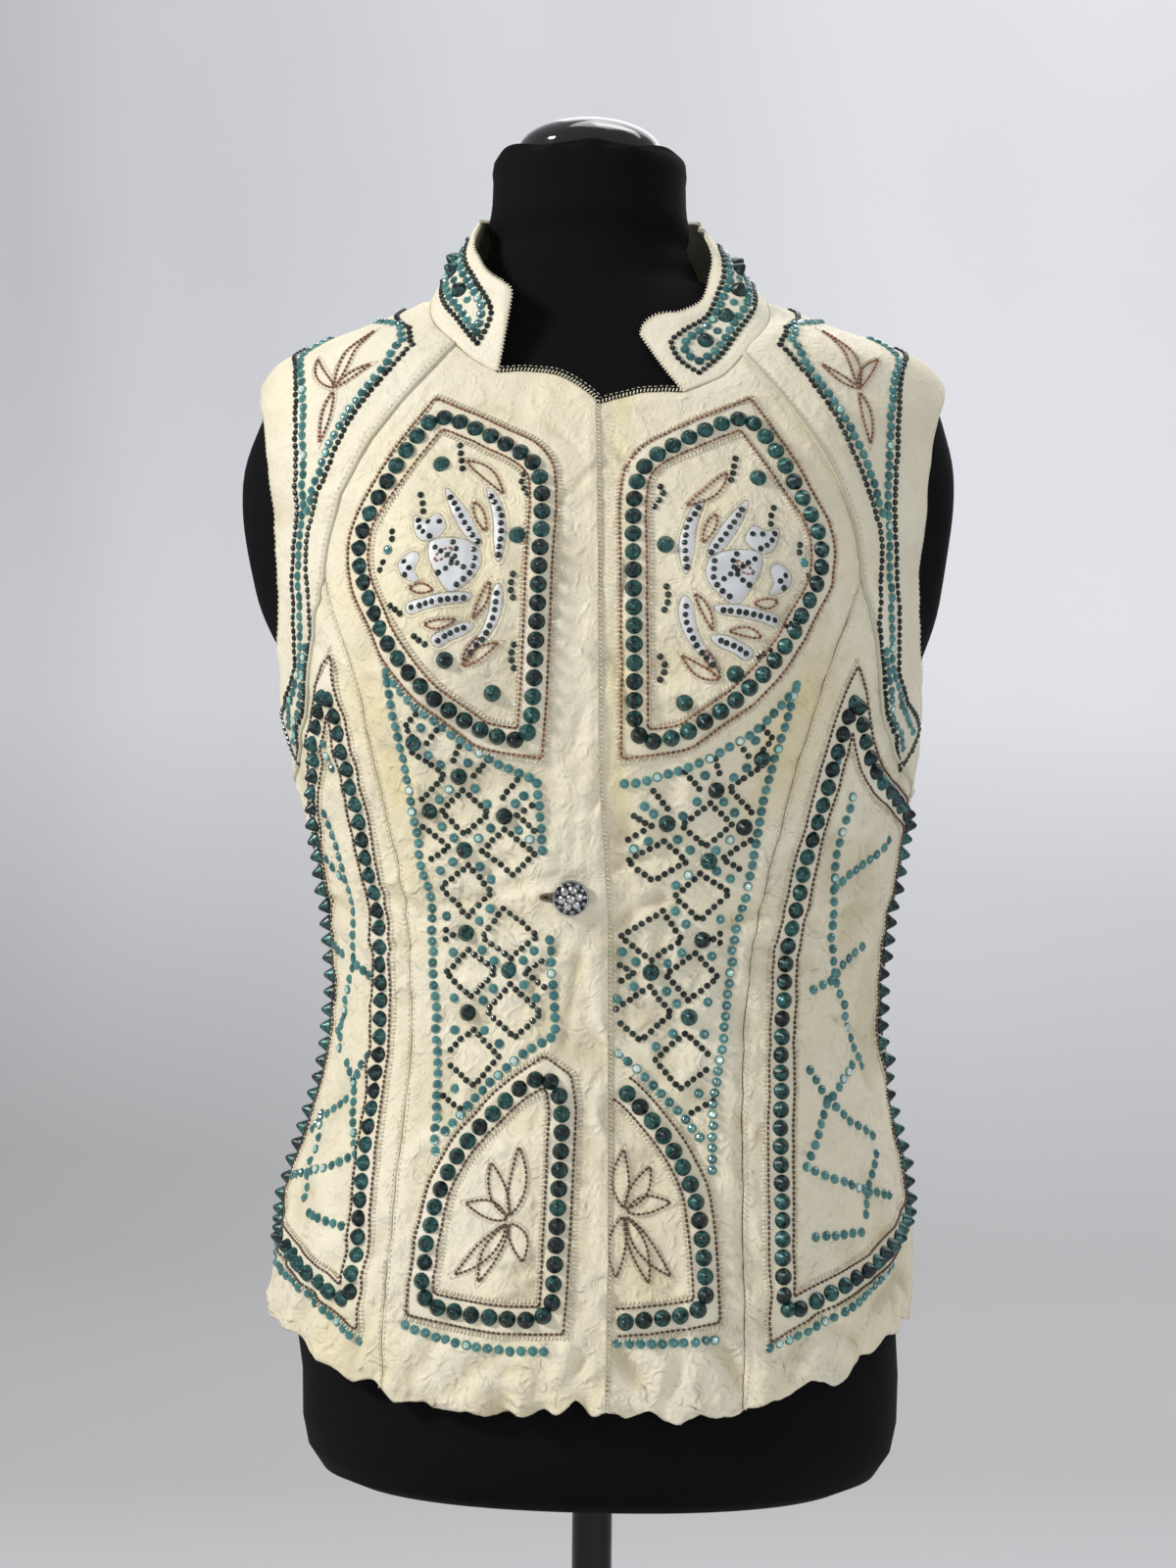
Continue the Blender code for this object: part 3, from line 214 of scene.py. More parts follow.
# The button and its buttonhole
BUTTON = {"turn": -3.6, "height": 0.5265, "radius": 0.0093, "thick": 0.0034, "dome": 0.0022}
BUTTON_CLEAR = 0.0006
BUTTONHOLE = {"from": -12.0, "to": -2.6, "half": 0.0016}

# The dress form that the vest rests on
FORM_INSET = ((0.262, 0.0100), (0.300, 0.0090), (0.360, 0.0080), (0.450, 0.0085),
              (0.560, 0.0083), (0.640, 0.0055), (0.760, 0.0055), (0.800, 0.0065),
              (0.846, 0.0060))
FORM_FOOT = ((0.2050, 0.1160, 0.078), (0.2065, 0.1370, 0.097), (0.2130, 0.1515, 0.110),
             (0.2250, 0.1595, 0.117), (0.2400, 0.1625, 0.1205), (0.2650, 0.1630, 0.1205))
FORM_FOOT_SHIFT = 0.0035
FORM_BOTTOM, FORM_TOP, FORM_STEP = 0.315, 0.846, 0.0065
FORM_NECK = ((0.860, 0.0610, 0.0500, 0.0500), (0.874, 0.0560, 0.0490, 0.0480),
             (0.890, 0.0535, 0.0500, 0.0470), (0.908, 0.0530, 0.0520, 0.0460),
             (0.9240, 0.0525, 0.0530, 0.0450), (0.9285, 0.0500, 0.0510, 0.0430))
FORM_NECK_SHIFT = -0.0090
ARM_PLATE = {"turn": 92.75, "height": 0.718, "across": 10.8, "along": 0.061, "left": 0.0130,
             "right": 0.0190}
CAP_RADIUS = 0.0390
CAP_HEIGHT = 0.0205
CAP_CENTRE = (-0.0090, -0.0040)

# The stand
POLE_RADIUS = 0.011
BASE_RADIUS = 0.160
BASE_EDGE = 0.010
BASE_RISE = 0.016
BOSS_RADIUS = 0.024
BOSS_HEIGHT = 0.052


def table(rows, columns):
    """A table's columns as arrays, by name."""
    return dict(zip(columns, np.array(rows, dtype=float).T))


def through(at, xs, ys):
    """Monotone cubic curve through the rows of a table, level beyond its ends."""
    at = np.clip(np.asarray(at, dtype=float), xs[0], xs[-1])
    step = np.diff(xs)
    rise = np.diff(ys) / step
    slope = np.zeros(len(xs))
    slope[0], slope[-1] = rise[0], rise[-1]
    for i in range(1, len(xs) - 1):
        if rise[i - 1] * rise[i] > 0:
            before = 2 * step[i] + step[i - 1]
            after = step[i] + 2 * step[i - 1]
            slope[i] = (before + after) / (before / rise[i - 1] + after / rise[i])
    k = np.clip(np.searchsorted(xs, at, side="right") - 1, 0, len(xs) - 2)
    t = (at - xs[k]) / step[k]
    low = (1 + 2 * t) * (1 - t) ** 2 * ys[k] + t * (1 - t) ** 2 * step[k] * slope[k]
    high = t * t * (3 - 2 * t) * ys[k + 1] + t * t * (t - 1) * step[k] * slope[k + 1]
    return low + high


def smooth_step(value, start, end):
    """0 before start and 1 after end, with an even slope at both."""
    t = np.clip((np.asarray(value, dtype=float) - start) / (end - start), 0, 1)
    return t * t * (3 - 2 * t)


def away(turn, centre):
    """Degrees from a centre, the short way round."""
    return (np.asarray(turn, dtype=float) - centre + 180) % 360 - 180


# The surface that the vest is cut from

def bell(distance, spread):
    """1 in the middle, falling evenly to nothing at both sides."""
    return np.exp(-(distance / spread) ** 2)


def oval(s, c, wide, deep):
    """The radius of a squared oval at a turn whose sine and cosine are given."""
    r = (np.abs(s) / wide) ** SQUARENESS + (np.abs(c) / deep) ** SQUARENESS
    return r ** (-1 / SQUARENESS)


SECTIONS = table(TORSO, TORSO_COLUMNS)
HEM_LINE = table(HEM, EDGE_COLUMNS)
TWISTS = table(TWIST, TWIST_COLUMNS)


def worn(points):
    """Places on the vest's front, by its own centre front, turned as it hangs."""
    return [(turn - float(through(height, TWISTS["height"], TWISTS["degrees"])
                          * (1 - smooth_step(abs(turn), *TWIST_FADE))), height)
            for turn, height in points]


def section_point(turn, height):
    """A point of the plain surface, before folds, at a turn in degrees and a height."""
    turn, height = np.broadcast_arrays(np.asarray(turn, float), np.asarray(height, float))
    right, left, fore, back = (through(height, SECTIONS["height"], SECTIONS[c])
                               for c in TORSO_COLUMNS[1:])
    s, c = np.sin(np.radians(turn)), np.cos(np.radians(turn))
    wide = np.where(s > 0, left, right)
    deep = np.where(c > 0, fore, back)
    r = oval(s, c, wide, deep)
    spread = np.where(height > BUST["z"], BUST["above"], BUST["below"])
    bust = np.exp(-((np.abs(r * s) - BUST["x"]) / BUST["across"]) ** 2
                  - ((height - BUST["z"]) / spread) ** 2)
    r = r + np.where(c > 0, BUST["rise"] * bust * np.clip(2 * c, 0, 1), 0)
    return np.stack([r * s, -r * c, height], axis=-1)


def normal(turn, height):
    """The direction out of the plain surface."""
    d_turn, d_height = 0.4, 0.002
    along = section_point(turn + d_turn, height) - section_point(turn - d_turn, height)
    low = np.maximum(height - d_height, TORSO[0][0])
    high = np.minimum(height + d_height, TORSO[-1][0])
    up = section_point(turn, high) - section_point(turn, low)
    return unit(np.cross(along, up))


def hem_middle(turn):
    """Height of the hem without its waves."""
    return through(np.abs(away(turn, 0)), HEM_LINE["turn"], HEM_LINE["height"])


def hem_ripple(turn, phase):
    """Uneven waves round the hem, about forty in all."""
    a = np.radians(turn)
    slow = 0.9 * np.sin(3 * a + phase) + 0.5 * np.sin(5 * a)
    wave = 0.62 * np.sin(38 * a + 1.6 * slow + phase) + 0.38 * np.sin(23 * a + phase * 2)
    return wave * (0.75 + 0.25 * np.sin(7 * a + phase))


def hem_height(turn):
    """Height of the hem's edge, with its waves."""
    return hem_middle(turn) + HEM_WAVES["down"] * hem_ripple(turn, 0.7)


def relief(turn, height):
    """How far the folds and the hem's waves stand out of the plain surface."""
    rise = np.zeros(np.broadcast(turn, height).shape)
    for at, middle, across, along, depth in FOLDS:
        near = (away(turn, at) / across) ** 2 + ((height - middle) / along) ** 2
        rise = rise + depth * np.exp(-near)
    above = np.maximum(height - hem_middle(turn), 0) / HEM_WAVES["reach"]
    return rise + HEM_WAVES["out"] * hem_ripple(turn, 2.1) * np.exp(-above ** 2)


def cloth_point(turn, height, out=0.0):
    """A point of the vest's outside, moved out."""
    turn, height = np.broadcast_arrays(np.asarray(turn, float), np.asarray(height, float))
    out = np.asarray(out) + relief(turn, height)
    return section_point(turn, height) + normal(turn, height) * out[..., None]


def right_overlap(turn, height):
    """How far the right front stands out, where it lies over the left front."""
    return OVERLAP_LIFT * (1 - smooth_step(-np.asarray(turn), *OVERLAP_FADE))


def no_overlap(turn, height):
    return np.zeros(np.shape(turn))


# The same surface laid out flat, for cutting the panels

RISE = np.concatenate([[0.0], np.cumsum(np.hypot(np.diff(SECTIONS["height"]),
                                                 np.diff(SECTIONS["left_half"])))])


def flat(turn, height):
    """The cutting plan: width along the turn and length along the surface."""
    return np.stack([np.radians(turn) * PLAN_RADIUS,
                     np.interp(height, SECTIONS["height"], RISE)], axis=-1)


def unflat(plan):
    return np.degrees(plan[..., 0] / PLAN_RADIUS), np.interp(plan[..., 1], RISE,
                                                             SECTIONS["height"])


def run_along(where):
    """Distances along a row of points, from the first one."""
    return np.concatenate([[0.0], np.cumsum(np.linalg.norm(np.diff(where, axis=0), axis=1))])


def unit(ways):
    return ways / np.linalg.norm(ways, axis=-1, keepdims=True)


def looped(points):
    """A ring with its first point again at its end."""
    return np.concatenate([points, points[:1]])


def smooth_line(points, per_span=24):
    """A rounded line through points, as a dense list of turn and height."""
    p = np.array(points, dtype=float)
    if len(p) < 3:
        t = np.linspace(0, 1, per_span)[:, None]
        return p[0] * (1 - t) + p[1] * t
    scale = np.array([PLAN_RADIUS * pi / 180, 1.0])
    lengths = run_along(p * scale)
    at = np.concatenate([np.linspace(lengths[i], lengths[i + 1], per_span, endpoint=False)
                         for i in range(len(p) - 1)] + [lengths[-1:]])
    return np.stack([through(at, lengths, p[:, 0]), through(at, lengths, p[:, 1])], axis=-1)


def spaced(line, step, point=cloth_point):
    """Even points along a dense line, both ends kept."""
    where = point(*line.T)
    run = run_along(where)
    count = max(int(ceil(run[-1] / step)), 1)
    at = np.linspace(0, run[-1], count + 1)
    return np.stack([np.interp(at, run, line[:, 0]), np.interp(at, run, line[:, 1])], axis=-1)


def loop_of(*runs):
    """Runs of points, end to start, as one closed loop with no point twice."""
    points = [p for run in runs for p in run[:-1]]
    return np.array(points)


def turning(loop):
    """Twice a loop's area, above 0 if it is anticlockwise."""
    return np.sum(loop[:, 0] * np.roll(loop[:, 1], -1) - loop[:, 1] * np.roll(loop[:, 0], -1))


def inset(loop, gap):
    """A closed loop of plan points moved inwards."""
    edge = np.roll(loop, -1, axis=0) - loop
    inward = np.stack([-edge[:, 1], edge[:, 0]], axis=-1)
    inward = unit(inward)
    mean = unit(inward + np.roll(inward, 1, axis=0))
    lean = np.maximum(np.sum(mean * inward, axis=1, keepdims=True), 0.5)
    return loop + mean * gap / lean


def inside(points, loop):
    """Which points lie inside a closed loop."""
    a, b = loop, np.roll(loop, -1, axis=0)
    rise = np.where(b[:, 1] == a[:, 1], 1e-12, b[:, 1] - a[:, 1])
    x, y = points[:, None, 0], points[:, None, 1]
    crosses = (a[:, 1] > y) != (b[:, 1] > y)
    left = x < (b[:, 0] - a[:, 0]) * (y - a[:, 1]) / rise + a[:, 0]
    return np.sum(crosses & left, axis=1) % 2 == 1


def nearest(points, others):
    """How far each point is from the nearest of some others."""
    deep = np.zeros((len(others), 3))
    deep[:, :others.shape[1]] = others
    tree = KDTree(len(deep))
    for i, spot in enumerate(deep.tolist()):
        tree.insert(spot, i)
    tree.balance()
    wide = np.zeros((len(points), 3))
    wide[:, :points.shape[1]] = points
    return np.array([tree.find(spot)[2] for spot in wide.tolist()])


def room_in(points, loop):
    """How far points are from a closed loop."""
    ahead = np.roll(loop, -1, axis=0) - loop
    dense = np.concatenate([loop + ahead * share for share in np.linspace(0, 1, 8)[:-1]])
    return nearest(points, dense)


def grid(loop, step):
    """A triangular grid of points well inside a loop."""
    low, high = loop.min(axis=0), loop.max(axis=0)
    a, b = loop, np.roll(loop, -1, axis=0)
    rows = []
    for k, y in enumerate(np.arange(low[1] + step / 2, high[1], step * sin(pi / 3))):
        hit = (a[:, 1] > y) != (b[:, 1] > y)
        cross = np.sort((b[hit, 0] - a[hit, 0]) * (y - a[hit, 1]) / (b[hit, 1] - a[hit, 1])
                        + a[hit, 0])
        xs = np.arange(low[0], high[0], step) + (k % 2) * step / 2
        xs = xs[np.searchsorted(cross, xs) % 2 == 1]
        rows.append(np.stack([xs, np.full(len(xs), y)], axis=-1))
    points = np.concatenate(rows)
    return points[room_in(points, loop) > 0.55 * step]


# Panels of the vest

def mirrored(points):
    """The same places on the other side of the vest."""
    return [(-turn, height) for turn, height in points]


def to_back(points):
    """The same places at the back of the vest."""
    return [(180 - turn, height) for turn, height in points]


COLLAR_ROWS = table(COLLAR, COLLAR_COLUMNS)


def collar_base(turn):
    """Height at which the collar joins the vest."""
    return through(np.asarray(turn) % 360, COLLAR_ROWS["turn"], COLLAR_ROWS["base"])


def collar_run(start, end):
    """Even points along the collar's seam between two turns."""
    turns = np.linspace(start, end, 60)
    return spaced(np.stack([turns, collar_base(turns)], axis=-1), NECK_STEP)


def hem_run(start, end):
    """Even points along the hem between two turns."""
    turns = np.linspace(start, end, 400)
    return spaced(np.stack([turns, hem_height(turns)], axis=-1), HEM_STEP)


def down_to_hem(points):
    """A seam's points, with the last one moved onto the hem."""
    turn = points[-1][0]
    return list(points[:-1]) + [(turn, float(hem_height(turn)))]


# The row of the piped seam at which the princess seam starts
SPLIT = PIPED_SEAM.index(PRINCESS_SEAM[0])


def seam_line(points, step=SEAM_STEP):
    """Even points along a rounded seam."""
    return spaced(smooth_line(points), step)


def seams(side):
    """The front seams and the armhole on one side: 1 for the left, at +X, and -1."""
    def flip(points):
        return worn(mirrored(points) if side < 0 else points)

    def upright(low, high):
        return [(90.0 * side, low), (90.0 * side, high)]

    top = (PIPED_TOP_TURN * side, float(collar_base(PIPED_TOP_TURN * side)))
    lines = {
        "piped_upper": [top] + flip(PIPED_SEAM[:SPLIT + 1]),
        "piped_lower": flip(PIPED_SEAM[SPLIT:]),
        "princess": down_to_hem(flip(PRINCESS_SEAM)),
        "armhole": flip(ARMHOLE_FRONT),
        "arm_back": flip(ARMHOLE_BACK),
        "shoulder": upright(SHOULDER_TIP, float(collar_base(90.0))),
        "side_upper": upright(PIPED_SIDE, UNDERARM),
        "side_lower": upright(float(hem_height(90.0 * side)), PIPED_SIDE),
    }
    return {name: seam_line(points) for name, points in lines.items()}


def back_seams(side):
    """The back seams on one side, which repeat the front ones."""
    flip = mirrored if side < 0 else list
    top = (BACK_SEAM_TURN * side, float(collar_base(BACK_SEAM_TURN)))
    return {
        "piped_upper": seam_line([top] + flip(list(BACK_SEAM_TOP)
                                              + to_back(PIPED_SEAM[1:SPLIT + 1]))),
        "piped_lower": seam_line(flip(to_back(PIPED_SEAM[SPLIT:]))),
        "princess": seam_line(down_to_hem(flip(to_back(PRINCESS_SEAM)))),
    }


def reverse(run):
    """The same points from the other end."""
    return run[::-1]


# The collar's surface

def collar_table():
    """The collar's seam and its smoothed way out from the neck, a row for each degree."""
    turns = np.arange(8.0, 353.0)
    base = section_point(turns, collar_base(turns))
    along = np.gradient(base, axis=0)
    along[:, 2] = 0
    along = unit(along)
    out = np.stack([along[:, 1], -along[:, 0], np.zeros(len(turns))], axis=-1)
    reach = np.arange(-24, 25)
    weight = bell(reach, 9.0)
    padded = np.pad(out, ((24, 24), (0, 0)), mode="edge")
    out = np.stack([np.convolve(padded[:, k], weight / weight.sum(), "valid")
                    for k in range(3)], axis=-1)
    return turns, base, unit(out)


COLLAR_TABLE = collar_table()


def collar_point(turn, up, out=0.0):
    """A point of the collar's outside, at a turn and a distance up its slope."""
    turn, up = np.broadcast_arrays(np.asarray(turn, float), np.asarray(up, float))
    turns, *tables = COLLAR_TABLE
    base, away_from_neck = (np.stack([np.interp(turn, turns, rows[:, k]) for k in range(3)],
                                     axis=-1) for rows in tables)
    lean = np.radians(through(turn, COLLAR_ROWS["turn"], COLLAR_ROWS["lean"]))[..., None]
    upward = np.array([0.0, 0.0, 1.0])
    slope = upward * np.cos(lean) - away_from_neck * np.sin(lean)
    face = away_from_neck * np.cos(lean) + upward * np.sin(lean)
    return (base + slope * (up[..., None] + COLLAR_LIFT)
            + face * np.asarray(out)[..., None])


def collar_end(side, corner, slant):
    """One front end of the collar, from its base to its top: turn and distance up."""
    first = COLLAR[0][0] if side > 0 else COLLAR[-1][0]
    per_metre = 180 / pi / COLLAR_RADIUS
    level = COLLAR_HEIGHT - corner
    up = np.linspace(0, level, 20)
    edge = np.stack([first - side * slant * up / COLLAR_HEIGHT, up], axis=-1)
    arc = np.linspace(0, pi / 2, 5)
    tip = edge[-1][0] + side * corner * per_metre * (1 - np.cos(arc))
    return edge, np.stack([tip, level + corner * np.sin(arc)], axis=-1)


# Bands of studs

def rounded(line, closed):
    """A dense line with its corners rounded off."""
    where = cloth_point(*line.T)
    run = run_along(where)
    reach = np.linspace(-BAND_CORNER, BAND_CORNER, 9)
    at = run[:, None] + reach
    at = at % run[-1] if closed else np.clip(at, 0, run[-1])
    if not closed:
        hold = np.minimum(run, run[-1] - run)[:, None] / BAND_CORNER
        at = run[:, None] + reach * np.clip(hold, 0, 1)
    return np.stack([np.interp(at, run, line[:, 0]).mean(axis=1),
                     np.interp(at, run, line[:, 1]).mean(axis=1)], axis=-1)


# Crumpled leather

def lattice(i, j, seed, wrap):
    """A fixed random value from -1 to 1 for each cell corner."""
    n = (i % wrap) * 374761393 + j * 668265263 + seed * 974711
    n = ((n ^ (n >> 13)) * 1274126177) & 0xFFFFFFFF
    return ((n ^ (n >> 16)) & 0xFFFF) / 32767.5 - 1


def soft_noise(turn, height, size, seed):
    """Smooth noise over the vest with cells of one size, closed all round."""
    wrap = max(int(round(0.95 / size)), 3)
    u, v = np.asarray(turn) / 360 * wrap, np.asarray(height) / size
    i, j = np.floor(u).astype(np.int64), np.floor(v).astype(np.int64)
    a, b = u - i, v - j
    a, b = a * a * (3 - 2 * a), b * b * (3 - 2 * b)
    low = lattice(i, j, seed, wrap) * (1 - a) + lattice(i + 1, j, seed, wrap) * a
    high = lattice(i, j + 1, seed, wrap) * (1 - a) + lattice(i + 1, j + 1, seed, wrap) * a
    return low * (1 - b) + high * b


# Creases, listed one by one: turn, height, angle from level, half length and half width in mm,
# depth
CREASES = (
    (-16.0, 0.5330, 12, 34, 3.2, -1.3), (-20.0, 0.5160, -24, 30, 3.4, -1.2),
    (-24.0, 0.5420, 30, 24, 3.0, -0.9), (-12.0, 0.4880, 58, 26, 3.6, -1.1),
    (-4.0, 0.4700, 78, 34, 3.4, -1.0), (2.0, 0.5650, 82, 30, 3.2, -0.9),
    (-1.5, 0.6150, 64, 24, 3.0, -0.8), (-6.0, 0.6750, 22, 18, 2.8, -0.7),
    (-3.0, 0.7400, 38, 22, 3.0, -0.9), (-8.0, 0.7640, -28, 20, 2.8, -0.8),
    (-28.0, 0.7800, -10, 24, 3.0, -0.7), (9.5, 0.7550, -40, 18, 2.6, -0.8),
    (10.0, 0.6900, 74, 22, 2.8, -0.9), (10.5, 0.6300, -66, 20, 2.8, -0.9),
    (12.0, 0.5450, 8, 20, 3.2, -1.2), (15.0, 0.5200, 26, 26, 3.2, -1.1),
    (13.0, 0.4900, -34, 20, 3.0, -0.9), (25.0, 0.5240, -8, 24, 3.0, -0.8),
    (-31.0, 0.5240, 10, 22, 3.0, -0.8), (46.0, 0.5200, 16, 22, 3.4, -1.1),
    (49.0, 0.5000, -14, 20, 3.2, -1.0), (-49.0, 0.5220, -16, 22, 3.4, -1.1),
    (-52.0, 0.4980, 12, 20, 3.2, -1.0), (52.0, 0.6400, 48, 24, 3.0, -0.9),
    (-56.0, 0.6420, -50, 24, 3.0, -0.9), (57.0, 0.6700, 58, 20, 2.8, -0.8),
    (-60.0, 0.6740, -58, 20, 2.8, -0.8), (72.0, 0.5200, 6, 22, 3.2, -1.0),
    (-74.0, 0.5200, -8, 22, 3.2, -1.0), (68.0, 0.4600, -28, 20, 3.0, -0.8),
    (-70.0, 0.4600, 26, 20, 3.0, -0.8), (-62.0, 0.3060, 68, 24, 4.2, -2.0),
    (-75.0, 0.3180, 52, 22, 4.0, -1.8), (-48.0, 0.2930, 76, 20, 4.0, -1.8),
    (-35.0, 0.2860, 58, 22, 4.2, -1.6), (-22.0, 0.2860, 40, 24, 4.4, -1.6),
    (-12.0, 0.2830, -18, 20, 4.0, -1.2), (0.0, 0.2880, 64, 22, 4.2, -1.6),
    (13.0, 0.2850, -52, 22, 4.2, -1.8), (22.0, 0.2840, 62, 20, 4.0, -1.6),
    (34.0, 0.2870, -60, 22, 4.0, -1.6), (47.0, 0.2940, 50, 20, 4.2, -1.8),
    (58.0, 0.3010, -40, 22, 4.0, -1.8), (70.0, 0.3150, 22, 20, 4.0, -1.6),
    (80.0, 0.3220, -30, 18, 3.8, -1.4), (-86.0, 0.3250, -34, 18, 3.8, -1.4),
    (100.0, 0.5250, 10, 24, 3.4, -1.2), (118.0, 0.5050, -16, 26, 3.6, -1.3),
    (136.0, 0.5300, 12, 26, 3.6, -1.2), (155.0, 0.5100, -8, 28, 3.8, -1.3),
    (178.0, 0.5280, 6, 30, 3.8, -1.3), (200.0, 0.5080, 10, 28, 3.6, -1.2),
    (222.0, 0.5300, -14, 26, 3.6, -1.2), (246.0, 0.5080, 14, 24, 3.4, -1.2),
    (150.0, 0.7600, 34, 26, 3.2, -0.8), (205.0, 0.7550, -32, 26, 3.2, -0.8),
    (178.0, 0.6500, 78, 34, 3.4, -0.8), (112.0, 0.3080, 60, 22, 4.2, -1.8),
    (134.0, 0.3000, -54, 22, 4.2, -1.8), (156.0, 0.2960, 62, 22, 4.2, -1.8),
    (176.0, 0.2940, -48, 22, 4.2, -1.6), (198.0, 0.2960, 56, 22, 4.2, -1.8),
    (222.0, 0.3000, -60, 22, 4.2, -1.8), (246.0, 0.3080, 52, 22, 4.2, -1.8),
)


def crumple(height):
    """How much the leather is crumpled: least at the shoulders, most at the hem."""
    return np.interp(height, (0.25, 0.31, 0.36, 0.50, 0.62, 0.74, 0.80),
                     (1.5, 1.25, 0.75, 0.95, 0.70, 0.50, 0.30))


def crinkle(turn, height):
    """Height of the crumpled leather above its plain form, in metres."""
    turn, height = np.asarray(turn, float), np.asarray(height, float)
    sway = soft_noise(turn, height, 0.045, 3) * 4.0
    lean = soft_noise(turn, height, 0.040, 5) * 0.012
    rise = 0.0034 * (0.40 - np.abs(soft_noise(turn + sway, height + lean, 0.026, 11)))
    rise += 0.0016 * (0.40 - np.abs(soft_noise(turn - sway, height + lean, 0.0125, 17)))
    rise += 0.0012 * soft_noise(turn, height, 0.050, 23)
    rise = rise * crumple(height)
    for at, middle, angle, length, width, depth in CREASES:
        u = radians(1) * away(turn, at) * PLAN_RADIUS
        v = height - middle
        c, s = cos(radians(angle)), sin(radians(angle))
        along = (u * c + v * s) / (length / 1000)
        across = (v * c - u * s) / (width / 1000)
        across = across + 0.5 * along ** 2 + 0.7 * sway * along / 4
        fade, line, crest = (np.exp(-np.minimum(far ** 2, 40))
                             for far in (along, across, np.abs(across) - 1.9))
        rise = rise + 1.5 * depth / 1000 * fade * (line - 0.42 * crest)
    return rise


def skin(turn, height, out=0.0, lift=no_overlap):
    """A point of the crumpled leather, moved out."""
    turn, height = np.broadcast_arrays(np.asarray(turn, float), np.asarray(height, float))
    return cloth_point(turn, height, lift(turn, height) + crinkle(turn, height) + out)


# Materials

class Look:
    """A material's node tree, with short ways to add its nodes."""

    def __init__(self, name):
        self.made = bpy.data.materials.new(name)
        self.made.use_nodes = True
        self.nodes = self.made.node_tree.nodes
        self.links = self.made.node_tree.links
        self.shader = self.nodes["Principled BSDF"]
        self.coords = self.nodes.new("ShaderNodeTexCoord").outputs["Object"]

    def put(self, socket, value):
        """A number, a colour or another node's output into a socket."""
        if isinstance(value, bpy.types.NodeSocket):
            self.links.new(value, socket)
        elif value is not None:
            socket.default_value = (*value, 1.0) if isinstance(value, tuple) else value

    def node(self, kind, inputs, **settings):
        """A new node's outputs."""
        made = self.nodes.new("ShaderNode" + kind)
        for name, value in settings.items():
            setattr(made, name, value)
        for slot, value in inputs.items():
            self.put(made.inputs[slot], value)
        return made.outputs

    def noise(self, scale, detail=4.0, kind="FBM", distortion=0.0):
        return self.node("TexNoise", {"Scale": scale, "Detail": detail, "Distortion": distortion,
                                      "Vector": self.coords}, noise_type=kind)["Fac"]

    def wave(self, direction, scale, distortion, detail=None):
        return self.node("TexWave", {"Scale": scale, "Distortion": distortion, "Detail": detail,
                                     "Vector": self.coords},
                         wave_type="BANDS", bands_direction=direction)["Fac"]

    def ramp(self, value, low, high, start=0.0, end=1.0):
        return self.node("MapRange", {"From Min": low, "From Max": high, "To Min": start,
                                      "To Max": end, "Value": value})["Result"]

    def maths(self, first, second, how="ADD"):
        return self.node("Math", {0: first, 1: second}, operation=how, use_clamp=True)["Value"]

    def mix(self, share, first, second):
        made = self.nodes.new("ShaderNodeMix")
        made.data_type = "RGBA"
        self.put(made.inputs["Factor"], share)
        for slot, value in (("A", first), ("B", second)):
            self.put([s for s in made.inputs if s.name == slot and s.type == "RGBA"][0], value)
        return [s for s in made.outputs if s.type == "RGBA"][0]

    def bump(self, height, distance, strength, before=None):
        return self.node("Bump", {"Distance": distance, "Strength": strength, "Height": height,
                                  "Normal": before})["Normal"]

    def fact(self, name):
        return self.node("Attribute", {}, attribute_name=name)["Fac"]

    def surface(self, **values):
        """The material, with its shader's inputs: each name has _ for a space."""
        for name, value in values.items():
            self.put(self.shader.inputs[name.replace("_", " ")], value)
        return self.made


def leather_material(name, cream, yellow, grey, crinkled):
    look = Look(name)
    broad = look.noise(13.0, distortion=0.6)
    patch = look.ramp(look.noise(34.0, 5.0), 0.38, 0.66)
    stain = look.maths(look.fact("stain"), look.ramp(broad, 0.38, 0.62, 0.10, 1.3), "MULTIPLY")
    colour = look.mix(stain, cream, yellow)
    colour = look.mix(look.maths(patch, 0.42, "MULTIPLY"), colour, grey)
    fine = look.ramp(look.noise(420.0, 3.0), 0.30, 0.75, 0.0, 0.22)
    colour = look.mix(fine, colour, tuple(c * 0.80 for c in yellow))
    # Painted shade: the deep attribute darkens the leather in the troughs of its creases and along
    # its rolled and stitched edges.
    colour = look.mix(look.fact("deep"), colour, tuple(c * 0.62 for c in yellow))
    strength = look.maths(look.fact("crumple"), crinkled, "MULTIPLY")
    bump = look.bump(look.noise(58.0, 5.0, "RIDGED_MULTIFRACTAL", 0.9), 0.0042, strength)
    wrinkle = look.noise(125.0, 6.0, "RIDGED_MULTIFRACTAL", 1.4)
    bump = look.bump(wrinkle, 0.0022, strength, bump)
    bump = look.bump(look.noise(260.0, 5.0, distortion=1.0), 0.0011, 0.5, bump)
    cells = look.node("TexVoronoi", {"Scale": 1100.0, "Vector": look.coords}, feature="SMOOTH_F1")
    bump = look.bump(cells["Distance"], 0.00022, 0.5, bump)
    return look.surface(Base_Color=colour, Specular_IOR_Level=0.38, Normal=bump,
                        Roughness=look.ramp(look.noise(55.0), 0.3, 0.7, 0.46, 0.64))


def patina_material(name, dark, middle, light, metal, rough):
    """Metal with a mottled patina. Each stud has its own tone, to which the cone studs add a
    painted highlight and shade ring by ring.
    """
    look = Look(name)
    mottle = look.noise(330.0, 5.0, distortion=1.0)
    spots = look.ramp(look.noise(620.0), 0.50, 0.68)
    share = look.maths(look.ramp(mottle, 0.40, 0.60, -0.25, 0.70), look.fact("tone"))
    colour = look.mix(share, dark, middle)
    colour = look.mix(look.maths(spots, share, "MULTIPLY"), colour, light)
    return look.surface(Base_Color=colour, Metallic=metal, Specular_IOR_Level=0.6,
                        Roughness=look.ramp(mottle, 0.3, 0.7, rough - 0.08, rough + 0.14),
                        Normal=look.bump(mottle, 0.0006, 0.5))


